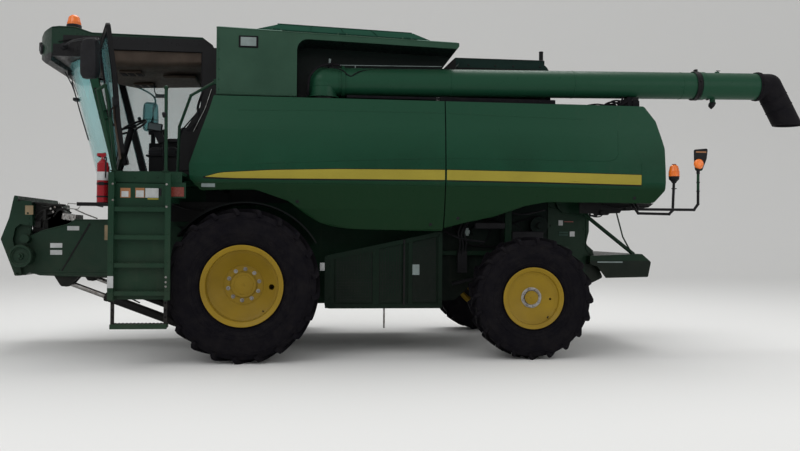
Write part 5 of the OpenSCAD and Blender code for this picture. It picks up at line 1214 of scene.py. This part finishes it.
b.lathe([[0, 0], [0, 14], [26, 17], [30, 0]], (-1760, -190, 2616), (0, -1, 0.1), 14)
b.box((-1800, -70, 2420), (-1700, 70, 2560), 14, rot("Y", -14))
b.done("steering_details", "black_plastic")

# seat: crowned cushions swollen by cloth simulation, on a pan and a back shell
VOXEL, PRESSURE, FRAMES = 0.011, 4.0, 20


def apply_all(o):
    deps = bpy.context.evaluated_depsgraph_get()
    me = bpy.data.meshes.new_from_object(o.evaluated_get(deps))
    o.modifiers.clear()
    o.data = me


def cushion(name, lo, hi, r, turn, about, cap):
    """A rounded cushion, swollen by pressure but nowhere by more than cap metres."""
    bm = block(lo, hi, r, 3)
    me = bpy.data.meshes.new(name)
    bm.to_mesh(me)
    bm.free()
    c = Vector(about)
    for v in me.vertices:
        v.co = P(*(turn @ (v.co - c) + c))
    o = bpy.data.objects.new(name, me)
    scene.collection.objects.link(o)
    remesh = o.modifiers.new("remesh", "REMESH")
    remesh.mode = "VOXEL"
    remesh.voxel_size = VOXEL
    apply_all(o)
    before = [v.co.copy() for v in o.data.vertices]
    sim = o.modifiers.new("cloth", "CLOTH")
    sim.settings.use_pressure = True
    sim.settings.uniform_pressure_force = PRESSURE
    sim.settings.effector_weights.gravity = 0.0
    for f in range(1, FRAMES + 1):
        scene.frame_set(f)
    deps = bpy.context.evaluated_depsgraph_get()
    after = [v.co.copy() for v in o.evaluated_get(deps).to_mesh().vertices]
    o.evaluated_get(deps).to_mesh_clear()
    o.modifiers.remove(sim)
    scene.frame_set(1)
    for v, a, b in zip(o.data.vertices, before, after):
        d = b - a
        v.co = a + (d * (cap / d.length) if d.length > cap else d)
    return o


def finish_cushion(o, grooves):
    """Sewn channels pressed into the cushion after one subdivision."""
    o.modifiers.new("sub", "SUBSURF").levels = 1
    apply_all(o)
    me = o.data
    for v in me.vertices:
        for depth, width, distance in grooves:
            d = distance(v.co)
            if abs(d) < width * 3:
                v.co -= v.normal * depth * math.exp(-(d / width) ** 2)
    me.polygons.foreach_set("use_smooth", [True] * len(me.polygons))
    me.materials.clear()
    me.materials.append(M["seat_fabric"])
    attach(o, "chassis")
    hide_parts("seat")


BACK_FOOT = (SEAT_X + 200, 0, 2640)
seat_middle = P(SEAT_X, 0, 0).x
pad = cushion("seat_cushion", (SEAT_X - 232, -222, 2548), (SEAT_X + 190, 222, 2640), 34, rot("Y", -3),
              (SEAT_X, 0, 2590), 0.024)
finish_cushion(pad, [(0.010, 0.006, lambda p: abs(p.y) - 0.135),
                     (0.007, 0.006, lambda p: p.x - seat_middle + 0.06),
                     (0.006, 0.004, lambda p: p.z - 2.585)])
rest = cushion("seat_back", (SEAT_X + 168, -212, 2622), (SEAT_X + 252, 212, 2950), 32, rot("Y", 10),
               BACK_FOOT, 0.022)
finish_cushion(rest, [(0.009, 0.006, lambda p: abs(p.y) - 0.125), (0.007, 0.006, lambda p: p.z - 2.80)])
b = Build().box((SEAT_X - 236, -226, 2526), (SEAT_X + 236, 226, 2552), 10)
b.box((SEAT_X + 246, -214, 2600), (SEAT_X + 268, 214, 2940), 8, rot("Y", 10), BACK_FOOT)
for b.side in BOTH:
    b.lathe([[0, 0], [0, 30], [16, 34], [20, 0]], (SEAT_X + 200, 232, 2610), n=24)
so = b.done("seat_frame", "black_plastic")
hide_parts("seat")

# the dark bay before the rear wheel: belts, boxes, hoses, levers; sheaves are x, z, radius, plane of the hub
SHEAVES = [(2950, 1560, 190, 754), (3450, 1500, 150, 754), (3820, 1640, 120, 784), (2620, 1850, 110, 764)]
BELTS = ((0, 1, 722), (0, 1, 744), (1, 2, 740), (3, 0, 738), (3, 0, 760))


def belt(b, first, second, y, gap=6):
    """A belt round two pulleys in the plane of the side."""
    (x0, z0, r0, _), (x1, z1, r1, _) = first, second
    r0, r1 = r0 + gap, r1 + gap
    turn, open_ = math.atan2(z1 - z0, x1 - x0), math.acos((r0 - r1) / math.hypot(x1 - x0, z1 - z0))
    path = [(x0 + r0 * math.cos(turn + a), z0 + r0 * math.sin(turn + a))
            for a in span(open_, FULL - open_, 14)]
    path += [(x1 + r1 * math.cos(turn + a), z1 + r1 * math.sin(turn + a)) for a in span(-open_, open_, 10)]
    b.line(y, path + path[:1], 8.0, caps=False)


for word, s in SIDES.items():
    b = Build(s)
    for i, j, y in BELTS:
        belt(b, SHEAVES[i], SHEAVES[j], y)
    b.done("drive_belts_" + word, "soft_rubber")
    b = Build(s)
    for x, z, r, y in SHEAVES:
        b.lathe([[0, 0], [0, 44], [10, 44], [14, 36], [14, 18], [26, 18], [26, 0]], (x, y, z), n=28)
        b.bolts(y + 10, [(x + 30 * math.cos(a), z + 30 * math.sin(a)) for a in (0.5, 2.59, 4.68)], 5, 6)
    b.done("sheave_hubs_" + word, "black_paint")
    b = Build(s)
    for lo, hi, edge in (((2901, 960, 1590), (3300, 1000, 1672), 8),
                         ((2940, 780, 1600), (3260, 960, 1660), 8),
                         ((3400, 930, 1372), (3818, 985, 1562), 10),
                         ((3440, 790, 1400), (3780, 930, 1540), 8),
                         ((2700, 820, 1010), (2830, 850, 1300), 6)):
        b.box(lo, hi, edge)
    b.line(785, [(2643, 861), (2905, 926), (3171, 731)], 22, 10)
    b.line(950, [(2965, 1925), (3231, 1759)], 12, 8)
    b.tubes(13, 8, 5, *[[(x, 850, z), (x + 10, 880, z + 120), (x - 20, 900, z + 260), (x + 40, 880, z + 400)]
                        for x, z in ((2720, 1280), (2760, 1260), (2800, 1290))],
            [(3300, 900, 1880), (3420, 930, 1800), (3600, 930, 1790), (3860, 900, 1850)])
    b.sweep([(2500, 900, 1900), (2620, 930, 1800), (2780, 940, 1760), (2960, 950, 1780), (3180, 940, 1860)],
            16,
            steps=5)
    b.sweep([(2520, 860, 1560), (2680, 900, 1480), (2860, 900, 1440), (3060, 860, 1420)], 14, steps=5)
    b.done("bay_boxes_" + word, "black_plastic")
    b = Build(s)
    b.box((3306, 930, 1330), (3398, 966, 1930), 5)
    b.box((2480, 780, 1240), (3380, 800, 1300), 4)
    b.box((2600, 840, 1690), (2640, 880, 1930), 4)
    b.bolts(966, [(3352, z) for z in (1400, 1640, 1860)]).bolts(800, [(x, 1270) for x in (2520, 2900, 3300)])
    b.done("bay_bars_" + word, "green", mat=SHADED_GREEN)
    b = Build(s).plate(2788, 2850, 1526, 1572, 905).box((2800, 880, 1500), (2838, 905, 1600), 3)
    b.done("bay_plate_" + word, "lamp_lens", mat=GREY)
    # dark baffle that hangs below the rear panel
    b = Build(s).prism([(4290, 1945), (5310, 1945), (5236, 1890), (5100, 1876), (4980, 1846), (4860, 1842),
                        (4840, 1812),
                        (4700, 1806), (4680, 1784), (4500, 1776), (4480, 1800), (4290, 1806)], 1010, 1024)
    b.box((4560, 1000, 1790), (4620, 1060, 1840), 6)
    b.box((4900, 1024, 1850), (5080, 1060, 1900), 6)
    b.sweep([(4420, 1030, 1800), (4470, 1036, 1764), (4560, 1036, 1762), (4610, 1030, 1796)], 8, steps=4)
    b.sweep([(4600, 1036, 1920), (4800, 1050, 1880), (5050, 1046, 1912), (5260, 1040, 1925)], 10, steps=4)
    b.done("rear_baffle_" + word, "black_paint")
    # dark inner wall above the front tyre
    b = Build(s).box((-1010, 790, 1650), (-250, 800, 1905), 3).box((-560, 800, 1740), (-440, 836, 1830), 6)
    b.sweep([(-960, 812, 1870), (-700, 818, 1800), (-420, 812, 1840), (-260, 806, 1800)], 11, steps=4)
    b.done("arch_wall_" + word, "black_paint")
    # residue chopper: bolts, folds, bearing, tailboard edge
    b = Build(s).bolts(721, [(3990, 1880), (4140, 1890), (4300, 1880), (4460, 1840), (4460, 1600),
                             (4460, 1400), (4000, 1400),
                             (4000, 1640), (4230, 1260)])
    b.line(721, [(3975, 1895), (4490, 1760), (4490, 1330), (4640, 1140)], 6, 8)
    b.lathe([[0, 0], [0, 92], [8, 92], [12, 84], [12, 40], [30, 36], [30, 0]], (4180, 720, 1290), n=40)
    b.bolts(731, [(4180 + dx, 1290 + dz) for dx, dz in circle(4, 64, 0.5)], 8)
    b.done("chopper_details_" + word, "green", mat=CHOPPER)
    Build(s).box((4600, 852, 1150), (4950, 862, 1168)).done("tailboard_edge_" + word, "steel", mat=GREY)

# engine hood: louvres, frames, ribs; y of its left and right faces
b = Build()
for z in span(3300, 3640, 8):
    for y0, y1 in ((-700, -120), (120, 1100)):
        b.box((3938, y0, z), (3950, y1, z + 16))
for b.side, y in ((-1, 901), (1, 1301)):
    for x0, x1 in ((2760, 3260), (3340, 3840)):
        b.line(y, rectangle(x0, x1, 3200, 3700), 5, caps=False)
        for z in span(3330, 3560, 6):
            b.box((x0 + 90, y, z), (x1 - 90, y + 10, z + 14))
    b.bolts(y, [(x, 3740) for x in (2820, 3180, 3420, 3780)])
for y in (-600, 0, 600):
    b.sweep([(2700, y, 3893), (3925, y, 3893)], 5, 6)
for x in (3000, 3350, 3700):
    b.box((x, -590, 3892), (x + 14, 590, 3898))
b.done("engine_hood_details", "black_paint")
Build().box((3560, -905, 3676), (3700, -901, 3690), 1).done("engine_hood_line", "amber_lens", mat=LENS_DARK)

# engine deck tread, exhaust, cooling screen
b = Build()
for i in range(15):
    for k in range(22):
        x, y = 4020 + i * 66, -1060 + k * 100
        b.box((x, y, 3145), (x + 26, y + 6, 3149), 1, rot("Z", 45 if (i + k) % 2 else -45))
for y in (-1120, 1180):
    b.box((3990, y, 3145), (5030, y + 12, 3165))
b.done("deck_tread", "black_paint")
b = Build()
for rows, z in ((ring(29, 35, 26), 3640), (ring(29, 33, 14), 3900),
                ([[0, 22], [0, 31], [-8, 31], [-8, 22], [0, 22]],
                 4086)):
    b.lathe(rows, (3975, -300, z), SKYWARD, 28)
b.sweep([(3990, -420, 3650), (4050, -420, 3720), (4120, -420, 3790)], 11)
b.sweep([(3945, -520, 3760), (4030, -520, 3764)], 9)
b.box((3945, -440, 3640), (4000, -400, 3672), 4)
b.done("exhaust_clamps", "black_paint")
SCREEN_X, SCREEN_Z = 3350, 2600
b = Build().lathe([[0, 470], [0, 486], [10, 486], [14, 480], [14, 470]], (SCREEN_X, 1371, SCREEN_Z), n=72)
b.bolts(1380.5, [(SCREEN_X + dx, SCREEN_Z + dz) for dx, dz in circle(16, 461)], 6, 5)
for dx, dz in circle(12, 1):
    b.sweep([(SCREEN_X + r * dx, y, SCREEN_Z + r * dz) for r, y in ((92, 1378), (448, 1372))], 3, 6)
for r in (150, 210, 270, 330, 390):
    b.lathe([[0, r], [0, r + 5], [5, r + 5], [5, r], [0, r]], (SCREEN_X, 1368, SCREEN_Z), n=64)
b.lathe([[12, 0], [12, 86], [18, 80], [20, 30], [30, 28], [30, 0]], (SCREEN_X, 1378, SCREEN_Z), n=36)
b.done("cooling_screen_rings", "black_paint")

# rear hood and its ladder, on the hood's rear face
HOOD_X = 5120
b = Build()
for y0, y1, z0, z1 in ((-1240, -60, 2760, 3000), (-1240, -60, 2120, 2690), (60, 1240, 2760, 3000)):
    b.sweep([(HOOD_X + 1, y, z) for y, z in rectangle(y0, y1, z0, z1)], 5, 6, caps=False)
for y in (-1260, -640, -20, 440, 960, 1260):
    for z in (2100, 2400, 2720):
        b.bolt((HOOD_X, y, z), (1, 0, 0))
for y in (-900, -300):
    b.box((HOOD_X, y - 60, 2690), (HOOD_X + 14, y + 60, 2720), 4)
b.box((HOOD_X, -720, 2180), (HOOD_X + 16, -480, 2214), 6)
b.sweep([(HOOD_X + 8, -700, 2240), (HOOD_X + 44, -690, 2240), (HOOD_X + 44, -510, 2240),
         (HOOD_X + 8, -500, 2240)], 9)
for b.side in BOTH:
    b.line(1301, [(HOOD_X - 60, 3080), (HOOD_X, 2900), (HOOD_X, 2140)], 5)
b.done("rear_hood_seams", "green", mat=HOOD)
b = Build()
for z in range(2125, 3026, 300):
    for y in range(528, 849, 40):
        b.box((HOOD_X + 66, y, z + 13), (HOOD_X + 104, y + 20, z + 21))
    for y in (500, 900):
        b.bolt((HOOD_X + 85, y, z), (1, 0, 0), 8, 6)
b.done("rear_ladder_treads", "green", mat=HOOD)

# marker lamps on the rear arms
MARKER_X, MARKER_Y = 5592, 1700
lamps, rims, strips = Build(), Build(), Build()
for s in BOTH:
    for t in (1, -1):
        place, outward = (MARKER_X, s * (MARKER_Y + t * 8), 2395), (0, s * t, 0)
        lamps.lathe([[0, 0], [0, 40], [6, 44], [16, 42], [24, 30], [28, 0]], place, outward, 28)
        rims.lathe([[0, 44], [0, 50], [8, 50], [10, 46], [10, 44]], place, outward)
        rims.line(s * (MARKER_Y + t * 8.5), [(5543, 2586), (5690, 2600)], 4)
        strips.box((5548, s * (MARKER_Y + t * 8), 2556), (5684, s * (MARKER_Y + t * 10.5), 2574), 0.8)
    rims.line(s * MARKER_Y, [(5582, 2290), (5582, 2345)], 21, 10)
    for z in (2070, 2180):
        rims.lathe(ring(17, 22, 12), (5582, s * MARKER_Y, z), SKYWARD, 16)
lamps.done("marker_lamps", "amber_lens")
rims.done("marker_rims", "black_plastic")
strips.done("marker_strips", "amber_lens", mat=WARM)

# lift cylinders: glands and hose ports, set on the barrels of the solids
END = 60
barrels = NODES["lift_barrels"]
places = [barrels.matrix_world @ v.co for v in barrels.data.vertices]
for word, s in SIDES.items():
    pts = [Vector(((p.x - AXLE_X) * 1000, p.y * 1000, p.z * 1000)) for p in places if p.y * s > 0]
    lo_x, hi_x = min(p.x for p in pts), max(p.x for p in pts)
    front_end = [p for p in pts if p.x < lo_x + END]
    rear_end = [p for p in pts if p.x > hi_x - END]
    c0, c1 = (sum(e, Vector()) / len(e) for e in (front_end, rear_end))
    axis = (c1 - c0).normalized()
    r = max(((p - c0) - axis * (p - c0).dot(axis)).length for p in front_end)
    b = Build()
    b.lathe([[6, r - 3], [6, r + 5], [40, r + 5], [44, r - 3]], c0, axis)
    b.lathe([[-6, r * 0.55], [-6, r * 0.8], [2, r * 0.86], [2, r * 0.55]], c0, axis)
    b.lathe(stud(14, 34, 10, 38), c0 + axis * 90 + Vector((0, 0, r * 0.8)), SKYWARD, 14)
    b.sweep([c0 + axis * t + Vector((0, 0, r + up_)) for t, up_ in ((90, 30), (200, 46), (460, 18))], 9,
            steps=5)
    b.done("lift_cylinder_glands_" + word, "black_paint", "lift_barrels")
